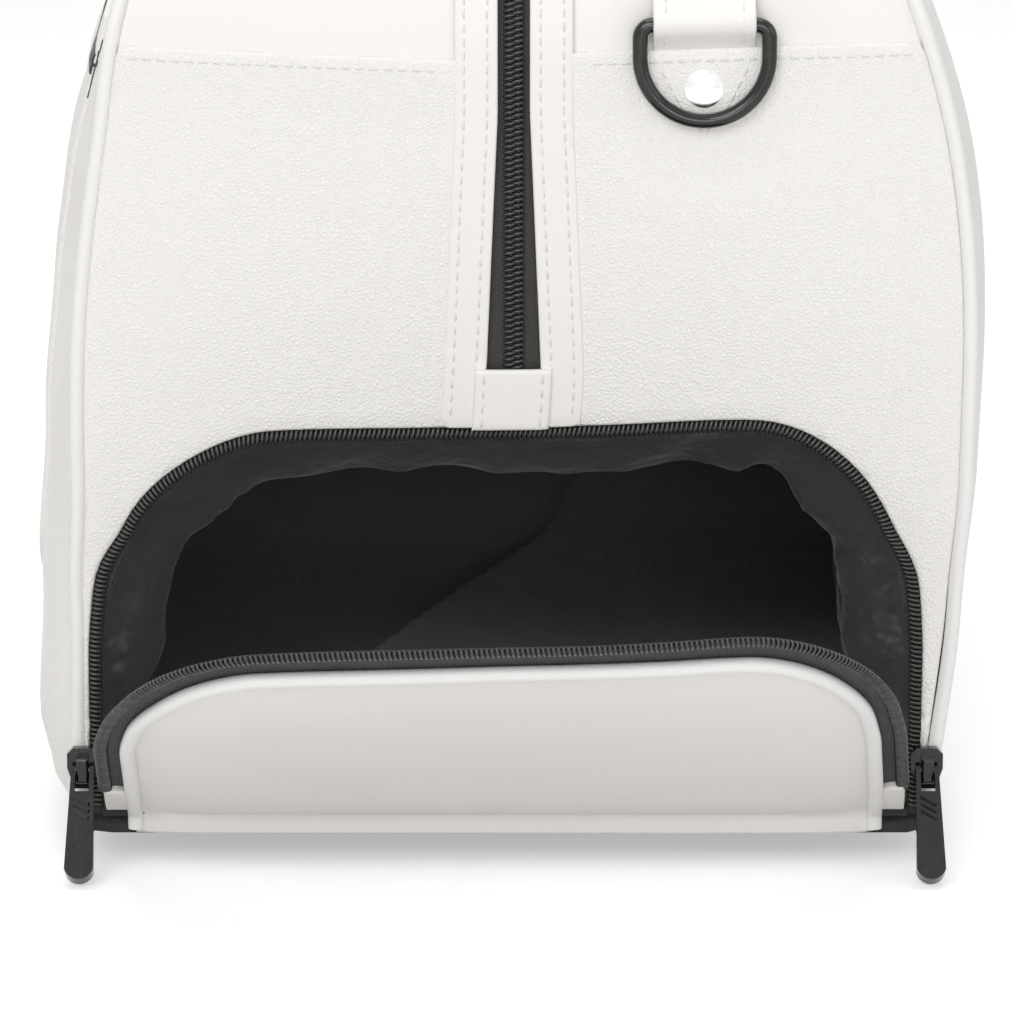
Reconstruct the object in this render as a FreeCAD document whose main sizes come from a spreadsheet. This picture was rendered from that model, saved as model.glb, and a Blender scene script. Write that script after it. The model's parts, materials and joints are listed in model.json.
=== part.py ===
"""Weekend golf bag with a zipped shoe compartment in its front end.

The bag is a long barrel-sided holdall.  A band of leather runs up the front end, over the top
and down the rear end, with the main zip along its middle.  Two side panels close it, piped all
round, on a black base with studs.  The shoe compartment is a lined tunnel through the front
end, shut by a flap that is hinged along its bottom edge and runs on a zip with two sliders.

Frame: millimetres, +Z up, X across the bag, Y along it, the shoe compartment at -Y.  The
origin is on the ground under the middle of the bag.
"""
import FreeCAD, Part
import math
import os
from types import SimpleNamespace
from FreeCAD import Placement, Rotation, Vector

os.makedirs("parts", exist_ok=True)
doc = FreeCAD.newDocument("shoe_compartment_bag")
sheet = doc.addObject("Spreadsheet::Sheet", "Sizes")

SIZES = [
    # body of the bag
    ("bag_length", 460.0, "outside length of the body, end face to end face"),
    ("body_top", 296.0, "height of the flat top above the ground"),
    ("half_width_base", 115.5, "half width at the foot of the side panels"),
    ("half_width_widest", 120.0, "half width where the sides stand furthest out"),
    ("half_width_top", 80.0, "half width of the top band"),
    ("widest_height", 130.0, "height of the widest place"),
    ("shoulder_radius", 75.0, "radius from each end face into the top"),
    ("leather", 2.0, "thickness of the outer panels"),
    ("yoke_drop", 0.5, "how far the smooth top panels lie below the grained ones"),
    ("hem_height", 221.0, "top edge of the grained end panels"),
    ("seat_gap", 0.15, "space under a patch that is laid on a curved panel"),
    ("piping_width", 3.2, "width of the piping bead"),
    ("piping_proud", 0.6, "how far the bead stands out of the panels"),
    # base
    ("foot_height", 8.0, "height of the base studs"),
    ("foot_radius", 8.0, "radius of a base stud at its root"),
    ("foot_inset_side", 32.0, "stud centre in from the side of the base"),
    ("foot_inset_end", 62.0, "stud centre in from the end of the base"),
    ("base_thickness", 4.0, "thickness of the black base"),
    ("board_thickness", 2.4, "thickness of the stiffening board"),
    # linings
    ("lining", 1.0, "wall of the linings"),
    ("lining_gap", 1.4, "space between the back of the leather and the main lining"),
    ("room_lift", 1.5, "floor of the main room above the top of the shoe opening"),
    ("tunnel_depth", 330.0, "depth of the shoe tunnel from the end face"),
    # main zip
    ("facing_inner", 7.0, "inner edge of the zip facings from the middle line"),
    ("facing_outer", 19.0, "outer edge of the zip facings"),
    ("facing_proud", 0.4, "how far the facings stand above the panels"),
    ("tape_thickness", 0.6, "thickness of every zip tape"),
    ("tape_half_width", 15.0, "half width of the main zip tape"),
    ("coil_half_width", 3.3, "half width of a closed zip coil"),
    ("coil_drop", 0.4, "top of the main coil below the outer surface"),
    ("tab_half_width", 10.2, "half width of the tab over each end of the main zip"),
    ("tab_height", 16.0, "height of that tab"),
    # shoe opening and its zip
    ("opening_half_width", 112.0, "half width of the hole in the end face"),
    ("opening_top", 120.0, "top of that hole above the ground"),
    ("opening_corner", 45.0, "radius of its upper corners"),
    ("half_coil", 3.0, "width of one half of the open shoe zip"),
    ("half_coil_height", 2.0, "height of that half coil"),
    ("mouth_margin", 2.4, "edge of the tunnel lining inside the opening"),
    ("tape_under", 8.0, "how far the upper tape reaches under the leather"),
    # flap
    ("hinge_height", 14.5, "height of the flap's hinge line"),
    ("hinge_bead", 1.2, "radius of the bead that the flap folds about"),
    ("zip_gap", 0.4, "clearance between the two halves of the shoe zip"),
    ("fold_gap", 0.3, "clearance round the hinge bead"),
    ("flap_thickness", 2.6, "thickness of the flap's padded face"),
    ("flap_tape_side", 7.0, "flap piping in from the flap's edge at the sides"),
    ("flap_tape_top", 10.0, "flap piping in from the flap's edge at the top"),
    ("flap_piping", 3.6, "width of the flap's piping"),
    ("flap_piping_proud", 0.8, "how far it stands out of the flap's face"),
    ("corner_height", 11.0, "height of the bound corners of the flap"),
    ("flap_lean", 50.0, "degrees that the open flap leans out at rest"),
    # D-rings
    ("d_ring_x", 52.2, "D-ring centre from the middle line"),
    ("d_ring_bar_height", 228.0, "height of the D-ring's bar"),
    ("d_ring_wire", 2.0, "radius of the D-ring's wire"),
    ("d_ring_half_width", 16.9, "half width of the D-ring to its wire's middle"),
    ("d_ring_drop", 25.2, "depth of the D-ring to its wire's middle"),
    ("d_ring_corner", 3.3, "bend radius at the two ends of the bar"),
    ("strap_half_width", 13.3, "half width of the D-ring strap"),
    ("strap_thickness", 1.5, "thickness of that strap"),
    ("strap_top_height", 272.0, "height where the D-ring strap starts"),
    ("strap_foot", 1.2, "strap end above the hem"),
    ("running_gap", 0.3, "clearance round bars and pins that turn"),
    ("rivet_height", 211.0, "height of the rivet under the D-ring"),
    ("rivet_radius", 5.0, "radius of the rivet's head"),
    ("rivet_head", 1.4, "height of the rivet's head"),
    ("rivet_shank", 1.6, "radius of the rivet's shank"),
    # sliders and pulls
    ("slider_half_width", 4.3, "half width of a slider"),
    ("slider_half_length", 5.6, "half length of a slider"),
    ("slider_back", 0.9, "slider's back above the surface that it runs over"),
    ("slider_plate", 2.6, "thickness of the slider's plate"),
    ("bridge_half_width", 1.6, "half width of the slider's bridge"),
    ("bridge_height", 3.4, "height of the bridge over the plate"),
    ("slider_chamfer", 1.6, "corner cut off a slider's nose"),
    ("slider_tail", 2.4, "half width of a slider at its tail"),
    ("bridge_half_length", 3.5, "half length of a slider's bridge"),
    ("bridge_round", 0.7, "rounding of the bridge's upper edges"),
    ("pin_radius", 0.9, "radius of the bar that a pull turns on"),
    ("pin_lift", 0.5, "bridge hole above the slider's plate"),
    ("pull_length", 32.0, "length of a pull from its bar to its tip"),
    ("pull_half_width_top", 3.0, "half width of a pull beside its bar"),
    ("pull_half_width_tip", 4.0, "half width of a pull at its tip"),
    ("pull_thickness_top", 1.8, "thickness of a pull at its bar"),
    ("pull_thickness_tip", 4.0, "thickness of a pull at its tip"),
    ("pull_window", 6.5, "length of the window that clears the bridge"),
    ("ridge_start", 2.6, "first slanted ridge below a pull's window"),
    ("ridge_pitch", 2.0, "spacing of those ridges"),
    ("ridge_half_length", 2.4, "half length of a ridge"),
    ("ridge_half_width", 0.4, "half width of a ridge"),
    ("ridge_proud", 0.35, "height of a ridge over the pull's tip"),
    ("ridge_turn", 32.0, "slant of the ridges in degrees"),
    ("shoe_slider_out", 1.6, "shoe sliders outside the edge of the opening"),
    ("shoe_slider_height", 27.0, "height of the shoe sliders at rest"),
    ("shoe_pull_lean", 38.0, "degrees that their pulls lean out at rest"),
    ("main_slider_y", 11.0, "main sliders from the middle of the top"),
    # side pocket
    ("pocket_half_length", 160.0, "half length of the pocket panel"),
    ("pocket_foot", 62.0, "bottom edge of the pocket panel"),
    ("pocket_zip_height", 206.0, "height of the pocket's zip"),
    ("pocket_zip_half", 7.0, "half width of the pocket zip's tape"),
    ("pocket_bulge", 8.0, "how far the pocket stands out"),
    ("pocket_corner", 18.0, "radius of the pocket's lower corners"),
    ("pocket_coil", 1.6, "height of the pocket zip's coil"),
    ("pocket_slider_y", 122.0, "place of the pocket's slider along the bag"),
    # handles
    ("handle_spacing", 78.0, "handle leg from the middle of the bag"),
    ("handle_rise", 150.0, "height of a handle's loop above its rings"),
    ("handle_strap_half", 12.5, "half width of a handle strap"),
    ("handle_strap", 4.0, "thickness of a handle strap"),
    ("handle_corner", 46.0, "outer radius of the handle's two bends"),
    ("handle_lean", 22.0, "degrees that the handles lean in at rest"),
    ("handle_ring_drop", 54.0, "handle rings' pivot below the top of the bag"),
    ("handle_ring_out", 5.2, "pivot of the handle rings outside the side panel"),
    ("handle_ring_wire", 2.0, "radius of the handle ring's wire"),
    ("handle_ring_half", 15.2, "half width of a handle ring to its wire's middle"),
    ("handle_ring_corner", 3.5, "bend radius at the corners of a handle ring"),
    ("handle_ring_length", 15.0, "length of a handle ring to its wire's middle"),
    ("anchor_half_width", 12.0, "half width of a handle anchor"),
    ("anchor_length", 26.0, "length of a handle anchor below its ring"),
    ("anchor_rise", 8.0, "height of a handle anchor above its ring"),
    ("anchor_stud_up", 6.5, "stud of a handle anchor above the anchor's foot"),
    ("stud_root", 4.5, "radius of an anchor's stud at its root"),
    ("stud_crown", 3.6, "radius of that stud at its top"),
    ("stud_height", 1.6, "height of that stud"),
    ("anchor_thickness", 1.5, "thickness of a handle anchor"),
    ("grip_half_thickness", 9.0, "half thickness of the wrapped grip"),
    ("grip_wrap", 1.5, "wrapping outside the edges of the strap"),
    ("grip_half_length", 46.0, "half length of the wrapped grip"),
]

for row, (alias, value, note) in enumerate(SIZES, start=1):
    sheet.set(f"A{row}", note)
    sheet.set(f"B{row}", str(value))
    sheet.setAlias(f"B{row}", alias)
doc.recompute()
v = SimpleNamespace(**{alias: float(sheet.get(alias)) for alias, _, _ in SIZES})

REACH = 400.0        # longer than the bag every way, for cutting tools
X_AXIS = Vector(1, 0, 0)
Y_AXIS = Vector(0, 1, 0)
Z_AXIS = Vector(0, 0, 1)
BASE_TOP = v.foot_height + v.base_thickness
FRONT = -v.bag_length / 2
COIL_FRONT = FRONT + v.leather - v.half_coil_height
HANDLE_RING_HEIGHT = v.body_top - v.handle_ring_drop
NODES = []


# ---------------------------------------------------------------- helpers
def keep(obj, name):
    """Names a finished sub-part and puts it on the list that is written out."""
    obj.Label = name
    NODES.append(obj)
    return obj


def shaped(name, shape, placement=None):
    """A sub-part whose shape comes from Part's own functions."""
    obj = doc.addObject("Part::Feature", name)
    obj.Shape = shape
    if placement is not None:
        obj.Placement = placement
    return keep(obj, name)


def bound(kind, name, **expressions):
    """A Part primitive with its sizes bound to the sheet."""
    obj = doc.addObject(kind, name)
    for prop, text in expressions.items():
        obj.setExpression(prop, text)
    return obj


def at(obj, x, y, z):
    """Binds the place of a primitive to the sheet."""
    obj.setExpression("Placement.Base.x", x)
    obj.setExpression("Placement.Base.y", y)
    obj.setExpression("Placement.Base.z", z)
    return obj


def block(x0, x1, y0, y1, z0, z1):
    """A box between two corners."""
    return Part.makeBox(x1 - x0, y1 - y0, z1 - z0, Vector(x0, y0, z0))


def rod(radius, start, end):
    """A round bar between two points."""
    way = end.sub(start)
    return Part.makeCylinder(radius, way.Length, start, way)


def arc_between(start, centre, radius, end):
    """The short arc from start to end about a centre."""
    middle = start.add(end).multiply(0.5).sub(centre)
    middle.normalize()
    return Part.Arc(start, centre.add(middle.multiply(radius)), end).toShape()


def line(start, end):
    return Part.LineSegment(start, end).toShape()


def turned_to_rear(shape):
    """The same shape turned half a turn about the upright axis, onto the rear end."""
    copy = shape.copy()
    copy.rotate(Vector(0, 0, 0), Z_AXIS, 180)
    return copy


# ---------------------------------------------------------------- master shapes
def long_prism(inset, foot):
    """The bag's long profile moved in by inset, drawn across the whole width."""
    half = v.bag_length / 2 - inset
    top = v.body_top - inset
    radius = v.shoulder_radius - inset
    knee = top - radius
    points = [Vector(-REACH, y, z) for y, z in
              ((-half, foot), (-half, knee), (-half + radius, top), (half - radius, top),
               (half, knee), (half, foot))]
    front_centre = Vector(-REACH, -half + radius, knee)
    rear_centre = Vector(-REACH, half - radius, knee)
    wire = Part.Wire([
        line(points[0], points[1]),
        arc_between(points[1], front_centre, radius, points[2]),
        line(points[2], points[3]),
        arc_between(points[3], rear_centre, radius, points[4]),
        line(points[4], points[5]),
        line(points[5], points[0])])
    return Part.Face(wire).extrude(Vector(2 * REACH, 0, 0))


def bulge_radius(half_width, height):
    """Radius of the side's arc from its widest place to a half width at a height."""
    step_in = v.half_width_widest - half_width
    rise = height - v.widest_height
    return (step_in ** 2 + rise ** 2) / (2 * step_in)


LOWER_RADIUS = bulge_radius(v.half_width_base, BASE_TOP)
UPPER_RADIUS = bulge_radius(v.half_width_top, v.body_top)


def side_x(height, inset=0.0):
    """Half width of the body at a height, moved in by inset."""
    radius = UPPER_RADIUS if height > v.widest_height else LOWER_RADIUS
    reach = radius - inset
    return v.half_width_widest - radius + math.sqrt(reach ** 2 - (height - v.widest_height) ** 2)


def side_lean(height):
    """Degrees that the side panel leans in at a height."""
    radius = UPPER_RADIUS if height > v.widest_height else LOWER_RADIUS
    return math.degrees(math.asin((height - v.widest_height) / radius))


def cross_prism(inset, foot=0.0):
    """The bag's cross profile moved in by inset, open at the top, drawn along the bag."""
    head = v.body_top + 12.0
    waist = v.widest_height
    places = [(side_x(foot, inset), foot), (v.half_width_widest - inset, waist),
              (side_x(head, inset), head)]
    right = [Vector(x, -REACH, z) for x, z in places]
    left = [Vector(-p.x, p.y, p.z) for p in right]
    low = (foot + waist) / 2
    high = (waist + head) / 2
    edges = []
    for points, sign in ((right, 1), (left, -1)):
        low_point = Vector(sign * side_x(low, inset), -REACH, low)
        high_point = Vector(sign * side_x(high, inset), -REACH, high)
        edges.append(Part.Arc(points[0], low_point, points[1]).toShape())
        edges.append(Part.Arc(points[1], high_point, points[2]).toShape())
    edges.append(line(right[0], left[0]))
    edges.append(line(right[2], left[2]))
    wire = Part.Wire(Part.__sortEdges__(edges))
    return Part.Face(wire).extrude(Vector(0, 2 * REACH, 0))


def band_skin(outer, inner, foot=BASE_TOP):
    """The layer of the end-and-top band between two depths."""
    return long_prism(outer, foot).cut(long_prism(inner, foot - 30))


def side_skin(outer, inner):
    """The layer of both side panels between two depths."""
    return cross_prism(outer).cut(cross_prism(inner, -30))


def arch_face(half_width, top, corner, foot, y):
    """An upright arch outline with rounded upper corners, in a plane across the bag."""
    knee = top - corner
    points = [Vector(x, y, z) for x, z in
              ((-half_width, foot), (-half_width, knee), (-half_width + corner, top),
               (half_width - corner, top), (half_width, knee), (half_width, foot))]
    left = Vector(-half_width + corner, y, knee)
    right = Vector(half_width - corner, y, knee)
    wire = Part.Wire([
        line(points[0], points[1]),
        arc_between(points[1], left, corner, points[2]),
        line(points[2], points[3]),
        arc_between(points[3], right, corner, points[4]),
        line(points[4], points[5]),
        line(points[5], points[0])])
    return Part.Face(wire)


def opening_solid(inset, y0, y1, foot=BASE_TOP):
    """The shoe opening's outline moved in by inset, as a solid between two depths."""
    face = arch_face(v.opening_half_width - inset, v.opening_top - inset,
                     v.opening_corner - inset, foot, y0)
    return face.extrude(Vector(0, y1 - y0, 0))


# ---------------------------------------------------------------- base
def make_base():
    width = "2 * Sizes.half_width_base"
    panel = bound("Part::Box", "base_panel", Length=width, Width="Sizes.bag_length",
                  Height="Sizes.base_thickness")
    at(panel, "-Sizes.half_width_base", "-Sizes.bag_length / 2", "Sizes.foot_height")
    keep(panel, "base_panel")

    board_half = "(Sizes.half_width_base - Sizes.piping_width - Sizes.running_gap)"
    board_reach = "(Sizes.bag_length / 2 - Sizes.piping_width - Sizes.running_gap)"
    board = bound("Part::Box", "base_board", Length=f"2 * {board_half}",
                  Width=f"2 * {board_reach}", Height="Sizes.board_thickness")
    at(board, f"-{board_half}", f"-{board_reach}", "Sizes.foot_height + Sizes.base_thickness")
    keep(board, "base_board")

    side = "(Sizes.half_width_base - Sizes.foot_inset_side)"
    end = "(Sizes.bag_length / 2 - Sizes.foot_inset_end)"
    studs = []
    for across, along in ((-1, -1), (1, -1), (-1, 1), (1, 1), (0, 0)):
        stud = bound("Part::Cone", "stud", Radius1="0.8 * Sizes.foot_radius",
                     Radius2="Sizes.foot_radius", Height="Sizes.foot_height")
        at(stud, f"{across} * {side}", f"{along} * {end}", "0")
        studs.append(stud)
    feet = doc.addObject("Part::Compound", "base_feet")
    feet.Links = studs
    keep(feet, "base_feet")


# ---------------------------------------------------------------- leather shell
def make_shell():
    inside_piping = cross_prism(v.piping_width)
    panels = band_skin(0, v.leather).common(inside_piping)
    smooth = band_skin(v.yoke_drop, v.leather).common(inside_piping)
    hole = opening_solid(0, FRONT - 5, FRONT + 20)
    for name, x0, x1 in (("left", -REACH, -v.facing_outer), ("right", v.facing_outer, REACH)):
        front = panels.common(block(x0, x1, -REACH, 0, BASE_TOP, v.hem_height)).cut(hole)
        shaped(f"front_panel_{name}", front)
        rear = panels.common(block(x0, x1, 0, REACH, v.opening_top, v.hem_height))
        shaped(f"rear_panel_{name}", rear)
        top = smooth.common(block(x0, x1, -REACH, REACH, v.hem_height, REACH))
        shaped(f"top_panel_{name}", top)
    rear_lower = panels.common(block(-REACH, REACH, 0, REACH, BASE_TOP, v.opening_top))
    shaped("rear_lower_panel", rear_lower)

    raised = band_skin(-v.facing_proud, v.leather)
    for name, x0, x1 in (("left", -v.facing_outer, -v.facing_inner),
                         ("right", v.facing_inner, v.facing_outer)):
        shaped(f"zip_facing_{name}",
               raised.common(block(x0, x1, -REACH, REACH, v.opening_top, REACH)))

    inside_ends = long_prism(v.piping_width, BASE_TOP)
    sides = side_skin(0, v.leather).common(inside_ends)
    bead = band_skin(-v.piping_proud, v.piping_width).common(
        side_skin(-v.piping_proud, v.piping_width))
    for name, x0, x1 in (("left", -REACH, 0), ("right", 0, REACH)):
        half = block(x0, x1, -REACH, REACH, BASE_TOP, REACH)
        shaped(f"side_panel_{name}", sides.common(half))
        shaped(f"piping_{name}", bead.common(half))


# ---------------------------------------------------------------- main zip
def make_main_zip():
    tape_back = v.leather + v.tape_thickness
    foot = v.opening_top
    tape = band_skin(v.leather, tape_back).common(
        block(-v.tape_half_width, v.tape_half_width, -REACH, REACH, foot + v.tape_under, REACH))
    shaped("main_zip_tape", tape)
    coil = band_skin(v.coil_drop, v.leather).common(
        block(-v.coil_half_width, v.coil_half_width, -REACH, REACH, foot, REACH))
    shaped("main_zip_coil", coil)
    tab_skin = band_skin(-v.facing_proud - v.leather, -v.facing_proud)
    tab = tab_skin.common(block(-v.tab_half_width, v.tab_half_width, -REACH, 0,
                                foot, foot + v.tab_height))
    shaped("zip_tab_front", tab)
    shaped("zip_tab_rear", turned_to_rear(tab))


# ---------------------------------------------------------------- shoe compartment
def make_compartment():
    back = FRONT + v.leather
    tape_back = back + v.tape_thickness
    tape = opening_solid(-v.tape_under, back, tape_back).cut(
        opening_solid(v.half_coil + v.zip_gap, back - 1, tape_back + 1, BASE_TOP - 1))
    tape = tape.common(cross_prism(v.piping_width))
    shaped("shoe_zip_upper_tape", tape)

    coil = opening_solid(0, COIL_FRONT, back).cut(
        opening_solid(v.half_coil, COIL_FRONT - 1, back + 1, BASE_TOP - 1))
    shaped("shoe_zip_upper_coil", coil)

    floor = BASE_TOP + v.board_thickness
    depth = FRONT + v.tunnel_depth
    margin = v.mouth_margin
    outer = opening_solid(margin, tape_back, depth, floor)
    inner = opening_solid(margin + v.lining, tape_back - 1, depth - v.lining, floor + v.lining)
    shaped("shoe_compartment_lining", outer.cut(inner))

    gap = v.leather + v.lining_gap
    low = v.opening_top + v.room_lift
    outer = long_prism(gap, low).common(cross_prism(gap))
    inner = long_prism(gap + v.lining, low + v.lining).common(cross_prism(gap + v.lining))
    shaped("main_compartment_lining", outer.cut(inner))


# ---------------------------------------------------------------- flap
FLAP_HALF = v.opening_half_width - v.half_coil - v.zip_gap
FLAP_TOP = v.opening_top - v.half_coil - v.zip_gap
FLAP_CORNER = v.opening_corner - v.half_coil - v.zip_gap
FLAP_FOOT = v.hinge_height + v.hinge_bead + v.fold_gap
HINGE = Vector(0, FRONT, v.hinge_height)


def flap_solid(side_inset, top_inset, y0, y1, foot=FLAP_FOOT):
    """The flap's outline moved in at its sides and top, drawn shut."""
    face = arch_face(FLAP_HALF - side_inset, FLAP_TOP - top_inset,
                     FLAP_CORNER - side_inset, foot, y0)
    return face.extrude(Vector(0, y1 - y0, 0))


def flap_ring(side_outer, top_outer, side_inner, top_inner, y0, y1, foot=FLAP_FOOT):
    """An arch-shaped strip round three edges of the flap."""
    return flap_solid(side_outer, top_outer, y0, y1, foot).cut(
        flap_solid(side_inner, top_inner, y0 - 1, y1 + 1, foot - 1))


def make_flap():
    lean = Placement(Vector(0, 0, 0), Rotation(X_AXIS, v.flap_lean), HINGE)
    mid = FRONT + v.hinge_bead / 2
    back = mid + v.tape_thickness
    lined = back + v.tape_thickness
    side = v.flap_tape_side
    top = v.flap_tape_top
    bead = v.flap_piping
    above_corner = FLAP_FOOT + v.corner_height

    shaped("flap_panel", flap_solid(side + bead, top + bead, mid - v.flap_thickness, mid), lean)
    piping = flap_ring(side, top, side + bead, top + bead,
                       mid - v.flap_thickness - v.flap_piping_proud, mid)
    shaped("flap_piping", piping, lean)
    shaped("flap_zip_coil", flap_ring(0, 0, v.half_coil, v.half_coil,
                                      mid - v.half_coil_height, mid, above_corner), lean)
    shaped("flap_zip_tape", flap_ring(0, 0, side + bead, top + bead, mid, back), lean)
    shaped("flap_lining", flap_solid(v.half_coil, v.half_coil, back, lined), lean)
    for name, x0, x1 in (("left", -FLAP_HALF, -FLAP_HALF + side),
                         ("right", FLAP_HALF - side, FLAP_HALF)):
        corner = block(x0, x1, mid - v.half_coil_height, mid, FLAP_FOOT, above_corner)
        shaped(f"flap_corner_{name}", corner, lean)

    bead_rod = rod(v.hinge_bead, Vector(-FLAP_HALF, FRONT, v.hinge_height),
                   Vector(FLAP_HALF, FRONT, v.hinge_height))
    web = block(-FLAP_HALF, FLAP_HALF, FRONT, FRONT + v.hinge_bead, BASE_TOP, v.hinge_height)
    shaped("flap_hinge_bead", bead_rod.fuse(web).removeSplitter())


# ---------------------------------------------------------------- D-rings
def ring_loop(half_width, drop, corner, wire, round_foot):
    """A closed wire ring hung from a bar along X at the origin, reaching down by drop."""
    foot_radius = half_width if round_foot else corner
    turn = drop - foot_radius
    path = [
        line(Vector(-half_width + corner, 0, 0), Vector(half_width - corner, 0, 0)),
        arc_between(Vector(half_width - corner, 0, 0), Vector(half_width - corner, 0, -corner),
                    corner, Vector(half_width, 0, -corner)),
        line(Vector(half_width, 0, -corner), Vector(half_width, 0, -turn)),
        arc_between(Vector(half_width, 0, -turn), Vector(half_width - foot_radius, 0, -turn),
                    foot_radius, Vector(half_width - foot_radius, 0, -drop)),
        arc_between(Vector(-half_width + foot_radius, 0, -drop),
                    Vector(-half_width + foot_radius, 0, -turn), foot_radius,
                    Vector(-half_width, 0, -turn)),
        line(Vector(-half_width, 0, -turn), Vector(-half_width, 0, -corner)),
        arc_between(Vector(-half_width, 0, -corner), Vector(-half_width + corner, 0, -corner),
                    corner, Vector(-half_width + corner, 0, 0)),
    ]
    if not round_foot:
        path.insert(4, line(Vector(half_width - corner, 0, -drop),
                            Vector(-half_width + corner, 0, -drop)))
    circle = Part.Wire(Part.Circle(Vector(0, 0, 0), X_AXIS, wire).toShape())
    return Part.Wire(path).makePipeShell([circle], True, True)


def make_rivet(name, placement):
    """A domed rivet turned about its own axis, head outwards along -Y."""
    body = doc.addObject("PartDesign::Body", name)
    sketch = body.newObject("Sketcher::SketchObject", name + "_profile")
    plane = [f for f in body.Origin.OriginFeatures if f.Role == "XY_Plane"][0]
    sketch.AttachmentSupport = (plane, "")
    sketch.MapMode = "FlatFace"
    shank = v.leather + 2 * v.tape_thickness
    rim = 0.3 * v.rivet_head
    rise = v.rivet_head - rim
    dome = (v.rivet_radius ** 2 + rise ** 2) / (2 * rise)
    half = math.asin(v.rivet_radius / dome) / 2
    crown = Vector(0, -v.rivet_head, 0)
    centre_y = -v.rivet_head + dome
    quarter = Vector(dome * math.sin(half), centre_y - dome * math.cos(half), 0)
    edge = Vector(v.rivet_radius, -rim, 0)
    corners = [edge, Vector(v.rivet_radius, 0, 0), Vector(v.rivet_shank, 0, 0),
               Vector(v.rivet_shank, shank, 0), Vector(0, shank, 0), crown]
    sketch.addGeometry(Part.Arc(crown, quarter, edge))
    for start, end in zip(corners, corners[1:]):
        sketch.addGeometry(Part.LineSegment(start, end))
    turn = body.newObject("PartDesign::Revolution", name + "_turned")
    turn.Profile = sketch
    turn.ReferenceAxis = (sketch, ["V_Axis"])
    turn.Angle = 360
    body.Placement = placement
    return keep(body, name)


def make_d_ring(end_name, to_rear):
    turn = turned_to_rear if to_rear else (lambda shape: shape)
    height = v.d_ring_bar_height
    bore = v.d_ring_wire + v.running_gap
    bar_y = FRONT - bore
    x0 = v.d_ring_x - v.strap_half_width
    x1 = v.d_ring_x + v.strap_half_width
    seat = v.yoke_drop - v.seat_gap
    flat = band_skin(seat - v.strap_thickness, seat).common(
        block(x0, x1, -REACH, 0, v.hem_height + v.strap_foot, v.strap_top_height))
    sleeve = rod(bore + v.strap_thickness, Vector(x0, bar_y, height), Vector(x1, bar_y, height))
    sleeve = sleeve.cut(long_prism(seat, 0))
    channel = rod(bore, Vector(x0 - 1, bar_y, height), Vector(x1 + 1, bar_y, height))
    shaped(f"d_ring_strap_{end_name}", turn(flat.fuse(sleeve).cut(channel).removeSplitter()))

    ring = ring_loop(v.d_ring_half_width, v.d_ring_drop, v.d_ring_corner, v.d_ring_wire, True)
    ring.translate(Vector(v.d_ring_x, bar_y, height))
    shaped(f"d_ring_{end_name}", turn(ring))

    side = -1 if to_rear else 1
    place = Vector(side * v.d_ring_x, side * FRONT, v.rivet_height)
    panel_name = f"{end_name}_panel_{'left' if to_rear else 'right'}"
    panel = [obj for obj in NODES if obj.Label == panel_name][0]
    hole = rod(v.rivet_shank, Vector(place.x, -side * REACH, place.z), Vector(place.x, 0, place.z))
    panel.Shape = panel.Shape.cut(hole)
    make_rivet(f"d_ring_rivet_{end_name}",
               Placement(place, Rotation(Z_AXIS, 180 if to_rear else 0)))


# ---------------------------------------------------------------- sliders and pulls
BRIDGE_HOLE = v.pin_radius + v.running_gap
PIN_OUT = v.slider_back + v.slider_plate + BRIDGE_HOLE + v.pin_lift


def slider_shape():
    """A zip slider that runs along Z on a surface at y = 0 and faces -Y."""
    near = -v.slider_back
    far = near - v.slider_plate
    nose = v.slider_half_length
    cut = v.slider_chamfer
    tail = v.slider_tail
    outline = [Vector(-v.slider_half_width, near, nose - cut),
               Vector(-v.slider_half_width + cut, near, nose),
               Vector(v.slider_half_width - cut, near, nose),
               Vector(v.slider_half_width, near, nose - cut),
               Vector(v.slider_half_width, near, 0),
               Vector(tail, near, -nose), Vector(-tail, near, -nose),
               Vector(-v.slider_half_width, near, 0)]
    plate = Part.Face(Part.makePolygon(outline + outline[:1])).extrude(
        Vector(0, -v.slider_plate, 0))
    bridge = block(-v.bridge_half_width, v.bridge_half_width, far - v.bridge_height, far,
                   -v.bridge_half_length, v.bridge_half_length)
    edges = [e for e in bridge.Edges if abs(e.BoundBox.YMax - (far - v.bridge_height)) < 0.01]
    bridge = bridge.makeFillet(v.bridge_round, edges)
    hole = rod(BRIDGE_HOLE, Vector(-9, -PIN_OUT, 0), Vector(9, -PIN_OUT, 0))
    return plate.fuse(bridge).cut(hole).removeSplitter()


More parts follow.
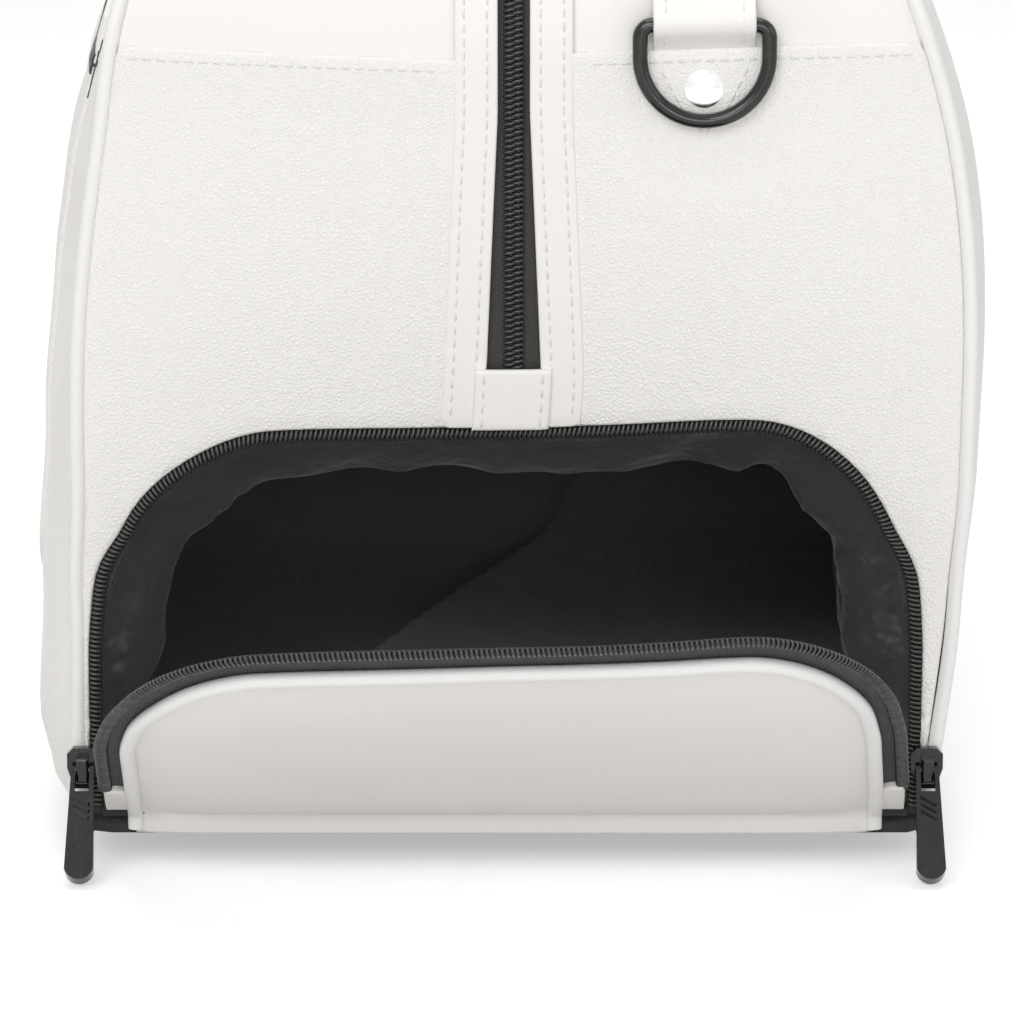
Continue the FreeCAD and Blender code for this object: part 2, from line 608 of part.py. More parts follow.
def pull_shape():
    """A zip pull hanging along -Z from a bar along X at the origin."""
    top = v.pin_radius
    tip = -v.pull_length
    thick_top = v.pull_thickness_top / 2
    thick_tip = v.pull_thickness_tip / 2

    def section(half_width, half_thickness, z):
        corners = [Vector(-half_width, -half_thickness, z), Vector(half_width, -half_thickness, z),
                   Vector(half_width, half_thickness, z), Vector(-half_width, half_thickness, z)]
        return Part.makePolygon(corners + corners[:1])

    body = Part.makeLoft([section(v.pull_half_width_top, thick_top, top),
                          section(v.pull_half_width_tip, thick_tip, tip)], True, True)
    round_end = Part.makeCylinder(v.pull_half_width_tip, 20, Vector(0, -10, tip +
                                  v.pull_half_width_tip), Y_AXIS)
    keep_box = block(-9, 9, -9, 9, tip + v.pull_half_width_tip, 9)
    body = body.common(round_end.fuse(keep_box))
    half = v.bridge_half_width + v.running_gap
    window = block(-half, half, -9, 9, -v.pull_window, -v.pin_radius)
    above = block(-half, half, -9, 9, -v.pin_radius, 9)
    bar = rod(v.pin_radius, Vector(-half - 0.5, 0, 0), Vector(half + 0.5, 0, 0))
    body = body.cut(window).cut(above).fuse(bar)
    for step in range(3):
        z = -v.pull_window - v.ridge_start - v.ridge_pitch * step
        ridge = block(-v.ridge_half_length, v.ridge_half_length, -thick_tip - v.ridge_proud, 0,
                      z - v.ridge_half_width, z + v.ridge_half_width)
        ridge.rotate(Vector(0, 0, z), Y_AXIS, v.ridge_turn)
        body = body.fuse(ridge)
    return body


def make_slider_pair(name, slider_name, pull_name, place, surface_turn, pull_turn):
    """A slider on its surface and the pull on its bridge."""
    slider = slider_shape()
    shaped(slider_name, slider, Placement(place, surface_turn))
    pivot = place.add(surface_turn.multVec(Vector(0, -PIN_OUT, 0)))
    shaped(pull_name, pull_shape(), Placement(pivot, surface_turn.multiply(pull_turn)))
    print(name, "pivot", [round(c, 3) for c in pivot])


def make_sliders():
    for name, sign in (("left", -1), ("right", 1)):
        place = Vector(sign * (v.opening_half_width + v.shoe_slider_out), COIL_FRONT,
                       v.shoe_slider_height)
        make_slider_pair(f"shoe {name}", f"shoe_slider_{name}", f"shoe_pull_{name}", place,
                         Rotation(), Rotation(X_AXIS, -v.shoe_pull_lean))
    for name, sign in (("front", -1), ("rear", 1)):
        place = Vector(0, sign * v.main_slider_y, v.body_top - v.coil_drop)
        on_top = Rotation(Z_AXIS, 0 if sign < 0 else 180).multiply(Rotation(X_AXIS, -90))
        make_slider_pair(f"main {name}", f"main_slider_{name}", f"main_pull_{name}", place,
                         on_top, Rotation())


# ---------------------------------------------------------------- side pocket
def make_pocket():
    along_bag = block(-REACH, 0, -v.pocket_half_length, v.pocket_half_length, 0, REACH)
    low = v.pocket_zip_height - v.pocket_zip_half
    high = v.pocket_zip_height + v.pocket_zip_half
    patch = side_skin(-v.pocket_bulge, -v.running_gap).common(along_bag).common(
        block(-REACH, 0, -REACH, REACH, v.pocket_foot, high))
    corners = [e for e in patch.Edges
               if abs(abs(e.BoundBox.YMin) - v.pocket_half_length) < 0.01
               and e.BoundBox.YLength < 0.01 and e.BoundBox.ZMax < v.pocket_foot + 0.01]
    shaped("pocket_panel", patch.makeFillet(v.pocket_corner, corners))
    seat = v.pocket_bulge + v.seat_gap
    crown = v.pocket_bulge + v.tape_thickness
    tape = side_skin(-crown, -seat).common(along_bag).common(
        block(-REACH, 0, -REACH, REACH, low, high))
    shaped("pocket_zip_tape", tape)
    coil = side_skin(-crown - v.pocket_coil, -crown).common(along_bag).common(
        block(-REACH, 0, -REACH, REACH, v.pocket_zip_height - v.coil_half_width,
              v.pocket_zip_height + v.coil_half_width))
    shaped("pocket_zip_coil", coil)

    lean = side_lean(v.pocket_zip_height)
    out = Rotation(Y_AXIS, lean).multVec(Vector(-1, 0, 0))
    height = crown + v.pocket_coil - v.slider_back + v.running_gap
    place = Vector(-side_x(v.pocket_zip_height), v.pocket_slider_y, v.pocket_zip_height)
    place = place.add(out.multiply(height))
    upright = Rotation(Y_AXIS, lean).multiply(Rotation(Z_AXIS, -90))
    along = upright.multiply(Rotation(Y_AXIS, 90))
    make_slider_pair("pocket", "pocket_slider", "pocket_pull", place, along, Rotation())


# ---------------------------------------------------------------- handles
def handle_pivot(sign):
    height = HANDLE_RING_HEIGHT
    lean = math.radians(side_lean(height))
    return Vector(sign * (side_x(height) + v.handle_ring_out * math.cos(lean)), 0,
                  height + v.handle_ring_out * math.sin(lean))


def make_handles():
    anchors = []
    studs = []
    for name, sign in (("left", -1), ("right", 1)):
        pivot = handle_pivot(sign)
        lean = Placement(pivot, Rotation(Y_AXIS, -sign * v.handle_lean))
        shaped(f"handle_{name}", handle_strap(), lean)
        shaped(f"handle_grip_{name}", handle_grip(), lean)
        rings = []
        for end in (-1, 1):
            ring = ring_loop(v.handle_ring_half, v.handle_ring_length, v.handle_ring_corner,
                             v.handle_ring_wire, False)
            ring.rotate(Vector(0, 0, 0), X_AXIS, 180)
            ring.rotate(Vector(0, 0, 0), Z_AXIS, 90)
            ring.translate(Vector(0, end * v.handle_spacing, 0))
            rings.append(ring)
            anchors.append(handle_anchor(sign, end * v.handle_spacing, pivot))
            studs.append(anchor_stud(sign, end * v.handle_spacing))
        shaped(f"handle_rings_{name}", Part.makeCompound(rings), lean)
    shaped("handle_anchors", Part.makeCompound(anchors))
    shaped("handle_rivets", Part.makeCompound(studs))


def handle_strap():
    """A handle's strap in its own plane: two legs up from the rings, bent over at the top."""
    half = v.handle_spacing + v.handle_strap_half
    foot = v.handle_ring_length - v.handle_ring_wire - v.running_gap
    outer = arch_face(half, v.handle_rise, v.handle_corner, foot, 0)
    inner = arch_face(half - 2 * v.handle_strap_half, v.handle_rise - 2 * v.handle_strap_half,
                      v.handle_corner - 2 * v.handle_strap_half, foot - 1, 0)
    loop = outer.cut(inner).extrude(Vector(0, v.handle_strap, 0))
    loop.translate(Vector(0, -v.handle_strap / 2, 0))
    loop.rotate(Vector(0, 0, 0), Z_AXIS, 90)
    ring_bore = v.handle_ring_wire + v.running_gap
    for end in (-1, 1):
        y = end * v.handle_spacing
        eye_y0 = y - v.handle_strap_half
        eye_y1 = y + v.handle_strap_half
        z = v.handle_ring_length
        eye = rod(ring_bore + v.anchor_thickness, Vector(0, eye_y0, z), Vector(0, eye_y1, z))
        channel = rod(ring_bore, Vector(0, eye_y0 - 1, z), Vector(0, eye_y1 + 1, z))
        loop = loop.fuse(eye).cut(channel)
    return loop.removeSplitter()


def handle_grip():
    """The wrapped tube round the middle of a handle's strap."""
    z = v.handle_rise - v.handle_strap_half
    outer = rod(v.handle_strap_half + v.grip_wrap,
                Vector(0, -v.grip_half_length, z), Vector(0, v.grip_half_length, z))
    slot = block(-v.handle_strap / 2, v.handle_strap / 2, -REACH, REACH,
                 z - v.handle_strap_half, z + v.handle_strap_half)
    flat = block(-v.grip_half_thickness, v.grip_half_thickness, -REACH, REACH, 0, REACH)
    return outer.common(flat).cut(slot)


def handle_anchor(sign, y, pivot):
    """The leather tab that carries one handle ring on the side panel."""
    skin = side_skin(-v.anchor_thickness, -v.seat_gap)
    top = HANDLE_RING_HEIGHT + v.anchor_rise
    x0 = -REACH if sign < 0 else 0
    flat = skin.common(block(x0, x0 + REACH, y - v.anchor_half_width, y + v.anchor_half_width,
                             HANDLE_RING_HEIGHT - v.anchor_length, top))
    bore = v.handle_ring_wire + v.running_gap
    start = Vector(pivot.x, y - v.anchor_half_width, pivot.z)
    end = Vector(pivot.x, y + v.anchor_half_width, pivot.z)
    sleeve = rod(bore + v.anchor_thickness, start, end)
    centre = Vector(pivot.x - sign * v.handle_ring_out, y, pivot.z)
    web = block(min(centre.x, pivot.x), max(centre.x, pivot.x), y - v.anchor_half_width,
                y + v.anchor_half_width, pivot.z - bore, pivot.z + bore)
    reach = Vector(0, 2, 0)
    channel = rod(bore, start.sub(reach), end.add(reach))
    body = flat.fuse(sleeve).fuse(web).cut(channel)
    return body.cut(cross_prism(-v.seat_gap)).removeSplitter()


def anchor_stud(sign, y):
    """The stud that pins a handle anchor's foot."""
    height = HANDLE_RING_HEIGHT - v.anchor_length + v.anchor_stud_up
    lean = side_lean(height)
    out = Rotation(Y_AXIS, sign * -lean).multVec(Vector(sign, 0, 0))
    foot = Vector(sign * side_x(height), y, height).add(Vector(out).multiply(v.anchor_thickness))
    return Part.makeCone(v.stud_root, v.stud_crown, v.stud_height, foot, out)


# ---------------------------------------------------------------- build
make_base()
make_shell()
make_main_zip()
make_compartment()
make_flap()
make_d_ring("front", False)
make_d_ring("rear", True)
make_sliders()
make_pocket()
make_handles()
doc.recompute()

for obj in doc.Objects:
    if "Invalid" in obj.State or "Error" in obj.State:
        raise RuntimeError(f"{obj.Label} failed to build: {obj.State}")
for obj in NODES:
    if obj.Shape.isNull() or not obj.Shape.isValid() or not obj.Shape.Solids:
        raise RuntimeError(f"{obj.Label} has no valid shape")
for obj in NODES:
    obj.Shape.exportStep(f"parts/{obj.Label}.step")
    box = obj.Shape.BoundBox
    print(f"{obj.Label:26s} {len(obj.Shape.Solids)} solids {obj.Shape.Volume:10.1f} mm3  "
          f"x {box.XMin:7.1f} {box.XMax:7.1f}  y {box.YMin:7.1f} {box.YMax:7.1f}  "
          f"z {box.ZMin:6.1f} {box.ZMax:6.1f}")
print(len(NODES), "nodes")
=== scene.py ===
"""Looks of the golf holdall with a shoe compartment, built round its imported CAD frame.

Everything is in metres in the part's own frame.  The leather shell is drawn on one surface,
shell(), so panels, facings, zips, hems and stitches all follow the same soft form.
"""
import json
from math import asin, ceil, copysign, cos, exp, hypot, pi, radians, sin, sqrt

import bmesh
import bpy
import numpy as np
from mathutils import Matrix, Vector, noise
from mathutils.geometry import delaunay_2d_cdt


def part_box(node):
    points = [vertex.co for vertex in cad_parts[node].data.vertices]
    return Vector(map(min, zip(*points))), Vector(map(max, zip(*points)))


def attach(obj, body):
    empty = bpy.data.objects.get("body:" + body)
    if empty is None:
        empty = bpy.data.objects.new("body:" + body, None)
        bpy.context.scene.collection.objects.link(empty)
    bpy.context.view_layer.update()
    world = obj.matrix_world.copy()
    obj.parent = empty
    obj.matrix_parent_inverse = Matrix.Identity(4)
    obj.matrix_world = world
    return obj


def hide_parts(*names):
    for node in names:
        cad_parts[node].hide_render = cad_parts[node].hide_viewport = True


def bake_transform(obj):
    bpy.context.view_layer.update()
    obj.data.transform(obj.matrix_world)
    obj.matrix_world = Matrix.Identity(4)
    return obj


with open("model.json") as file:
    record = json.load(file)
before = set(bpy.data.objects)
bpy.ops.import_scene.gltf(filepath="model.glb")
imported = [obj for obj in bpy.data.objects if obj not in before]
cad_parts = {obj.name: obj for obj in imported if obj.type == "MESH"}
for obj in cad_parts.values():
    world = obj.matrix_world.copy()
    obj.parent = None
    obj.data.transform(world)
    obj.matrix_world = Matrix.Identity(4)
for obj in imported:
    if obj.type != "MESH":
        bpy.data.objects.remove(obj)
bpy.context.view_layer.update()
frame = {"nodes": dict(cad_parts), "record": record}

MM = 0.001

# ---- sizes from the frame
panel_low, panel_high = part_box("front_panel_left")
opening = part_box("shoe_zip_upper_coil")[1]
FRONT = panel_low.y
BASE_TOP = panel_low.z
HEM = panel_high.z
BODY_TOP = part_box("main_zip_coil")[1].z + 0.4 * MM
SHOULDER = BODY_TOP - HEM
OPEN_HALF = opening.x
OPEN_TOP = opening.z
HALF_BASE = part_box("base_panel")[1].x
HALF_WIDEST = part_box("side_panel_right")[1].x
JOINTS = {joint["name"]: joint for joint in frame["record"]["behaviour"]["joints"]}
HINGE = Vector(JOINTS["flap_hinge"]["pos_m"])
ring_low, ring_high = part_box("d_ring_front")
RING_X = (ring_low.x + ring_high.x) / 2
RING_Z = (ring_low.z + ring_high.z) / 2
strap_low, strap_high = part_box("d_ring_strap_front")
loop_low, loop_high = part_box("handle_rings_right")
RING_WIRE = (ring_high.y - ring_low.y) / 2
HANDLE_PIVOT = Vector((loop_high.x - RING_WIRE, 0, loop_low.z + RING_WIRE))
HANDLE_Y = 78 * MM
HANDLE_Z = HANDLE_PIVOT.z + 4 * MM
anchor_low, anchor_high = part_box("handle_anchors")
pocket_low, pocket_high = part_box("pocket_panel")
pocket_zip_low, pocket_zip_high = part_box("pocket_zip_coil")
tunnel_low, tunnel_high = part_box("shoe_compartment_lining")

# ---- sizes of the soft parts
HALF_TOP = 80 * MM            # half width of the bag at the top
WAIST = 130 * MM              # height where it is widest
PIPING = 3.2 * MM             # panel edges stop this far inside the corner
PIPING_RADIUS = 2.0 * MM
LEATHER = 2.0 * MM
OPEN_CORNER = 45 * MM
HALF_COIL = 3.0 * MM
CLOSED_PITCH = 1.5 * MM       # from tooth to tooth where a zip is closed
OPEN_PITCH = 1.3 * MM         # and where it is open
COIL_WIRE = 0.44 * MM
STITCH = 2.5 * MM
STITCH_GAP = 1.15 * MM
THREAD = 0.31 * MM
FACING_WIDE = 11.4 * MM
FACING_LIFT = 0.75 * MM
FACING_LAP = 3 * MM           # the panels run this far under the facings
HEM_ROLL = 0.5 * MM           # extra height at the folded edge of a grained panel
HEM_SEAM = 3.2 * MM           # its stitches are this far below that edge
FACING_SEAMS = (2.5 * MM, 8.6 * MM)    # in from a facing's outer edge
TOP_SUNK = 1.0 * MM           # the top panels lie this far below the grained ones
SIDE_INSET = 2.2 * MM         # the side panels stop this far inside the piping
TAPE_HALF = 14.5 * MM
TAB_LIFT = 2.3 * MM
TAB_SEAM = 2.4 * MM
BAND_SWELL = 1.8 * MM
SIDE_SWELL = 7.9 * MM
LEFT_PINCH = 6.0 * MM         # how far the opening's upper corners fall inwards
RIGHT_PINCH = 4.6 * MM
SLOUCH_FULL = 15 * MM         # the slouch is full this far behind the front
SLOUCH_END = 110 * MM         # and gone this far behind it
FLAP_CROWN = 3.6 * MM
RING_PULL = 25 * MM           # round a D-ring this much leather is held flat
HANDLE_PULL_Y = 34 * MM       # and so much round a handle's anchor
HANDLE_PULL_Z = 26 * MM
GRIP_THICK = 9.2 * MM
GRIP_DEEP = 14 * MM
BACK_FOLDS = 6 * MM
FLOOR_RIDGE = 11 * MM
FLOOR_COVE = 22 * MM          # how far the compartment's floor curls up at its far end
ROOM_SLACK = 3.5 * MM         # the main lining hangs this far below its CAD roof
TUBE_SIDES = 6                # sides of the thin tubes of coils and threads
COIL_POINTS = 10              # points in each turn of a coil
FLAP_LEAN = radians(50)
FLAP_TWIST = radians(2.3)
FLAP_HALF = OPEN_HALF - HALF_COIL - 0.4 * MM
FLAP_TOP = OPEN_TOP - HALF_COIL - 0.4 * MM
FLAP_CORNER = OPEN_CORNER - HALF_COIL - 0.4 * MM
FLAP_FOOT = HINGE.z + 1.5 * MM

STRAIGHT = HEM - BASE_TOP
TURN = pi / 2 * SHOULDER
FLAT = -2 * FRONT - 2 * SHOULDER
TOTAL = 2 * STRAIGHT + 2 * TURN + FLAT
ZIP_FOOT = OPEN_TOP - BASE_TOP    # the main zip starts this far along the band

SIDES = ((-1, "left"), (1, "right"))


def smooth(value, low=0.0, high=1.0):
    """0 below low, 1 above high, and a smooth step between."""
    part = min(max((value - low) / (high - low), 0.0), 1.0)
    return part * part * (3 - 2 * part)


def mix(a, b, share):
    return a + (b - a) * share


def toward(a, b):
    """The direction from one point to another."""
    return (b - a).normalized()


def hill(value, middle, spread):
    """A bell-shaped rise, 1 at its middle."""
    return exp(-((value - middle) / spread) ** 2)


def ripple(a, b, c):
    """Smooth noise, between -1 and 1, that changes with each of three numbers."""
    return noise.noise(Vector((a, b, c)))


def from_front(s):
    return s


def from_rear(s):
    """The place at the rear that matches a place s along the front."""
    return TOTAL - s


ENDS = (("front", 1, from_front), ("rear", -1, from_rear))


# ---- the bag's surface
def arc_radius(half_width, height):
    step_in = HALF_WIDEST - half_width
    return (step_in ** 2 + (height - WAIST) ** 2) / (2 * step_in)


LOWER = arc_radius(HALF_BASE, BASE_TOP)
UPPER = arc_radius(HALF_TOP, BODY_TOP)


def side_x(z):
    """Half width of the body at a height."""
    radius = UPPER if z > WAIST else LOWER
    return HALF_WIDEST - radius + sqrt(radius ** 2 - (z - WAIST) ** 2)


def profile(s):
    """(y, z, outward y, outward z) a way s along the band, from the front foot to the rear."""
    if s > TOTAL / 2:
        y, z, out_y, out_z = profile(TOTAL - s)
        return -y, z, -out_y, out_z
    if s <= STRAIGHT:
        return FRONT, BASE_TOP + s, -1.0, 0.0
    if s <= STRAIGHT + TURN:
        angle = (s - STRAIGHT) / SHOULDER
        return (FRONT + SHOULDER * (1 - cos(angle)), HEM + SHOULDER * sin(angle),
                -cos(angle), sin(angle))
    return FRONT + SHOULDER + s - STRAIGHT - TURN, BODY_TOP, 0.0, 1.0


def curve(value, points):
    """A smooth line through (value, height) points, flat beyond both ends."""
    if value <= points[0][0]:
        return points[0][1]
    for (a, low), (b, high) in zip(points, points[1:]):
        if value <= b:
            return mix(low, high, smooth(value, a, b))
    return points[-1][1]


# (height, how far the end's outer edges lean to the right there)
EDGE_LEAN = [(12 * MM, 0), (73 * MM, 3.0 * MM), (105 * MM, 4.6 * MM), (192 * MM, 6.2 * MM),
             (238 * MM, 3.3 * MM), (296 * MM, 0)]


def pinch(x, z):
    """How far across the soft end lets the upper corners of its opening fall inwards."""
    depth = (LEFT_PINCH if x < 0 else RIGHT_PINCH) * smooth(z, 56 * MM, 94 * MM)
    depth *= 1 - smooth(z, 110 * MM, 150 * MM)
    return -copysign(depth, x) * smooth(abs(x), 30 * MM, 88 * MM)


def settle(point):
    """The lop-sided slouch of a soft bag, near its open end, for everything sewn to the shell."""
    x, y, z = point
    near = 1 - smooth(y, FRONT + SLOUCH_FULL, FRONT + SLOUCH_END)
    if near == 0:
        return Vector((x, y, z))
    side = min(abs(x) / HALF_WIDEST, 1)
    outside = mix(smooth(abs(x), OPEN_HALF - MM, OPEN_HALF + 5 * MM), side ** 2,
                  smooth(z, 95 * MM, 150 * MM))
    seam = 2.3 * MM * smooth(z, 95 * MM, 140 * MM)
    shift = mix(seam, curve(z, EDGE_LEAN), outside)
    shift += pinch(x, z) * (1 - smooth(abs(x), OPEN_HALF - 4 * MM, OPEN_HALF + 3.5 * MM))
    lift = 2.4 * MM * hill(x, 62 * MM, 34 * MM) - 1.2 * MM * hill(x, -88 * MM, 24 * MM)
    lift *= smooth(z, 50 * MM, 112 * MM) * (1 - smooth(z, 125 * MM, 180 * MM))
    slope = mix(-3.0, 2.0, side) if x < 0 else mix(-1.0, 3.0, side)
    slope *= MM * hill(z, HEM, 22 * MM)
    return Vector((x + shift * near, y, z + (lift + slope) * near))


def freed(across, up):
    """0 by a fitting that holds the leather flat, 1 beyond 1.6 times the reach of its pull."""
    return smooth(hypot(across, up), 0.8, 1.6)


def band_puff(x, s):
    """How far the end-and-top band swells between the zip and its piping."""
    y, z, _, _ = profile(s)
    edge = side_x(z) - PIPING
    across = min(max((abs(x) - 16 * MM) / (edge - 16 * MM), 0), 1)
    along = smooth(s, 0, 60 * MM) * (1 - smooth(s, TOTAL - 60 * MM, TOTAL))
    swell = BAND_SWELL * sin(pi * across) ** 0.8 * along
    wander = 0.35 * MM * noise.noise(Vector((x, y, z)) * 22) * sin(pi * across)
    ring_x = RING_X if y < 0 else -RING_X
    return (swell + wander) * freed((x - ring_x) / RING_PULL, (z - RING_Z) / RING_PULL)


def shell(x, s, height=0.0):
    """A point of the band, x across and s along it, lifted off the leather by height."""
    y, z, out_y, out_z = profile(s)
    lift = height + band_puff(x, s)
    return settle((x, y + out_y * lift, z + out_z * lift))


# (height, share of the full swell at the open end of the left side)
LEFT_FULLNESS = [(12 * MM, 0.5), (20 * MM, 1.3), (34 * MM, 1.7), (67 * MM, 1.5),
                 (106 * MM, 1.08), (147 * MM, 0.75), (174 * MM, 0.6), (226 * MM, 0.15),
                 (296 * MM, 0)]


def side_puff(sign, y, z):
    """How far a side panel swells; it is held in where the handles pull on it."""
    along = 1 - min(abs(y) / (-FRONT - PIPING), 1) ** (16 if sign < 0 else 8)
    share = min(max((z - BASE_TOP) / (BODY_TOP - BASE_TOP), 0), 1)
    up = sin(pi * share) ** 0.6
    if sign < 0:
        up = mix(curve(z, LEFT_FULLNESS), up, smooth(y, FRONT + 80 * MM, FRONT + 260 * MM))
    wander = 0.9 * MM * noise.noise(Vector((y, z, 0.3)) * 14)
    free = freed((abs(y) - HANDLE_Y) / HANDLE_PULL_Y, (z - HANDLE_Z) / HANDLE_PULL_Z)
    return (SIDE_SWELL + wander) * along * up * free


def flank(sign, y, z, height=0.0):
    """A point of a side panel, lifted off the leather by height."""
    radius = UPPER if z > WAIST else LOWER
    lean = asin((z - WAIST) / radius)
    lift = height + side_puff(sign, y, z)
    return settle((sign * (side_x(z) + lift * cos(lean)), y, z + lift * sin(lean)))


# ---- mesh tools
def add(name, data):
    """A new object in the scene that holds a mesh, a light or a camera."""
    obj = bpy.data.objects.new(name, data)
    bpy.context.scene.collection.objects.link(obj)
    return obj


def piece(name, verts, faces, slot, body="bag", nodes=None, crease=50, material=None):
    """Links a mesh piece, gives it its finish and body, and hides the CAD nodes it stands for.

    Unless told otherwise it has its slot's material and stands for the node of its own name,
    if there is one.
    """
    if nodes is None:
        nodes = [name] if name in frame["nodes"] else []
    mesh = bpy.data.meshes.new(name)
    mesh.from_pydata([tuple(v) for v in verts], [], faces)
    mesh.validate()
    whole = bmesh.new()
    whole.from_mesh(mesh)
    bmesh.ops.recalc_face_normals(whole, faces=whole.faces)
    whole.to_mesh(mesh)
    whole.free()
    mesh.materials.append(material or BY_SLOT[slot])
    mesh.shade_smooth()
    mesh.set_sharp_from_angle(angle=radians(crease))
    obj = add(f"{name}_form", mesh)
    if body:
        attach(obj, body)
    if nodes:
        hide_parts(*nodes)
    return obj


def measure(line):
    """How far along a line each of its points is."""
    lengths = [0.0]
    for a, b in zip(line, line[1:]):
        lengths.append(lengths[-1] + (b - a).length)
    return lengths


def marks(lengths, count):
    """Evenly spaced places along a line, count + 1 of them, as (leg, share of the leg)."""
    out = []
    leg = 0
    for k in range(count + 1):
        want = lengths[-1] * k / count
        while leg < len(lengths) - 2 and lengths[leg + 1] < want:
            leg += 1
        span = lengths[leg + 1] - lengths[leg] or 1.0
        out.append((leg, min((want - lengths[leg]) / span, 1.0)))
    return out


def spaced(points, step, closed=False):
    """The same line with its points no further than step apart and evenly spaced."""
    line = [Vector(p) for p in points] + ([Vector(points[0])] if closed else [])
    lengths = measure(line)
    count = max(2, ceil(lengths[-1] / step))
    out = [line[leg].lerp(line[leg + 1], share) for leg, share in marks(lengths, count)]
    return out[:-1] if closed else out


def inward(loop, distance):
    """A counter-clockwise plane loop moved in by a distance."""
    out = []
    for before, here, after in zip(loop[-1:] + loop[:-1], loop, loop[1:] + loop[:1]):
        way = toward(before, after)
        out.append(Vector((here.x - way.y * distance, here.y + way.x * distance)))
    return out


def edge_distance(points, loop):
    """Distance from each point to the loop."""
    p = np.array([tuple(q) for q in points])[:, None, :]
    a = np.array([tuple(q) for q in loop])
    b = np.roll(a, -1, axis=0)
    span = b - a
    along = ((p - a) * span).sum(2) / np.maximum((span ** 2).sum(1), 1e-16)
    near = a + np.clip(along, 0, 1)[:, :, None] * span
    return np.sqrt(((p - near) ** 2).sum(2)).min(1)


def inside(points, loop):
    """Whether each point lies inside the loop."""
    p = np.array([tuple(q) for q in points])
    a = np.array([tuple(q) for q in loop])
    b = np.roll(a, -1, axis=0)
    above_a = a[:, 1] > p[:, 1:2]
    above_b = b[:, 1] > p[:, 1:2]
    rise = np.where(np.abs(b[:, 1] - a[:, 1]) < 1e-15, 1e-15, b[:, 1] - a[:, 1])
    cross = a[:, 0] + (p[:, 1:2] - a[:, 1]) * (b[:, 0] - a[:, 0]) / rise
    return ((above_a != above_b) & (p[:, 0:1] < cross)).sum(1) % 2 == 1


def patch(name, outline, place, thickness, slot, step=5 * MM, rim=0.9 * MM, body="bag",
          nodes=None, swell=None, material=None):
    """A cut piece of sheet: a plane outline laid on a surface, with rolled edges and a back.

    place(u, v, height) gives the point on the surface and swell(distance) a crown by the
    distance from the edge.
    """
    loop = spaced([Vector(p) for p in outline], step, closed=True)
    area = sum(a.x * b.y - b.x * a.y for a, b in zip(loop, loop[1:] + loop[:1]))
    if area < 0:
        loop.reverse()
    rings = [inward(loop, rim * share) for share in (0.12, 0.45, 1.0)]
    us = [p.x for p in loop]
    vs = [p.y for p in loop]
    grid = []
    for row, v in enumerate(np.arange(min(vs) + step / 2, max(vs), step * 0.866)):
        start = min(us) + step * (0.25 if row % 2 else 0.75)
        grid += [Vector((u, v)) for u in np.arange(start, max(us), step)]
    if grid:
        kept = inside(grid, loop) & (edge_distance(grid, loop) > rim + 0.35 * step)
        grid = [p for p, good in zip(grid, kept) if good]
    flat = loop + [p for ring in rings for p in ring] + grid
    count = len(loop)
    border = [(k, (k + 1) % count) for k in range(count)]
    flat, _, faces, _, _, _ = delaunay_2d_cdt(flat, border, [], 1, 1e-8)
    distance = edge_distance(flat, loop)
    verts = []
    for p, d in zip(flat, distance):
        short = 1 - min(d / rim, 1.0)
        height = rim * (sqrt(max(1 - short ** 2, 0)) - 1)
        verts.append(place(p.x, p.y, height + (swell(d) if swell else 0)))
    total = len(verts)
    verts += [place(p.x, p.y, -thickness) for p in flat]
    sides = {}
    for face in faces:
        for a, b in zip(face, face[1:] + face[:1]):
            sides[(a, b)] = True
    skin = [tuple(face) for face in faces]
    skin += [tuple(k + total for k in reversed(face)) for face in faces]
    skin += [(b, a, a + total, b + total) for a, b in sides if (b, a) not in sides]
    return piece(name, verts, skin, slot, body, nodes, material=material)


def loft(name, rows, slot, body="bag", crease=50):
    """A solid through closed sections, capped at both ends."""
    width = len(rows[0])
    verts = [p for row in rows for p in row]
    faces = []
    for below in range(0, len(verts) - width, width):
        above = below + width
        for k in range(width):
            j = (k + 1) % width
            faces.append((below + k, below + j, above + j, above + k))
    faces.append(tuple(range(width - 1, -1, -1)))
    faces.append(tuple(range(len(verts) - width, len(verts))))
    return piece(name, verts, faces, slot, body, crease=crease)


def tube_mesh(points, radius, sides, verts, faces):
    """Adds a round tube along points to a mesh being gathered, with closed ends."""
    start = len(verts)
    side = (points[1] - points[0]).orthogonal().normalized()
    for k, here in enumerate(points):
        way = toward(points[max(k - 1, 0)], points[min(k + 1, len(points) - 1)])
        side = (side - way * side.dot(way)).normalized()
        up = way.cross(side)
        for j in range(sides):
            angle = 2 * pi * j / sides
            verts.append(here + (side * cos(angle) + up * sin(angle)) * radius)
    for k in range(len(points) - 1):
        a = start + k * sides
        for j in range(sides):
            n = (j + 1) % sides
            faces.append((a + j, a + n, a + sides + n, a + sides + j))
    faces.append(tuple(start + j for j in reversed(range(sides))))
    faces.append(tuple(len(verts) - sides + j for j in range(sides)))


def tube(name, points, radius, slot, sides=12, body="bag"):
    verts, faces = [], []
    tube_mesh(points, radius, sides, verts, faces)
    return piece(name, verts, faces, slot, body, crease=70)


def frames_along(stations, step):
    """Stations of (point, across, out) resampled evenly, for things that repeat along a line."""
    lengths = measure([station[0] for station in stations])
    out = []
    for leg, share in marks(lengths, max(1, round(lengths[-1] / step))):
        a, b = stations[leg], stations[leg + 1]
        out.append((a[0].lerp(b[0], share), a[1].lerp(b[1], share).normalized(),
                    a[2].lerp(b[2], share).normalized()))
    return out


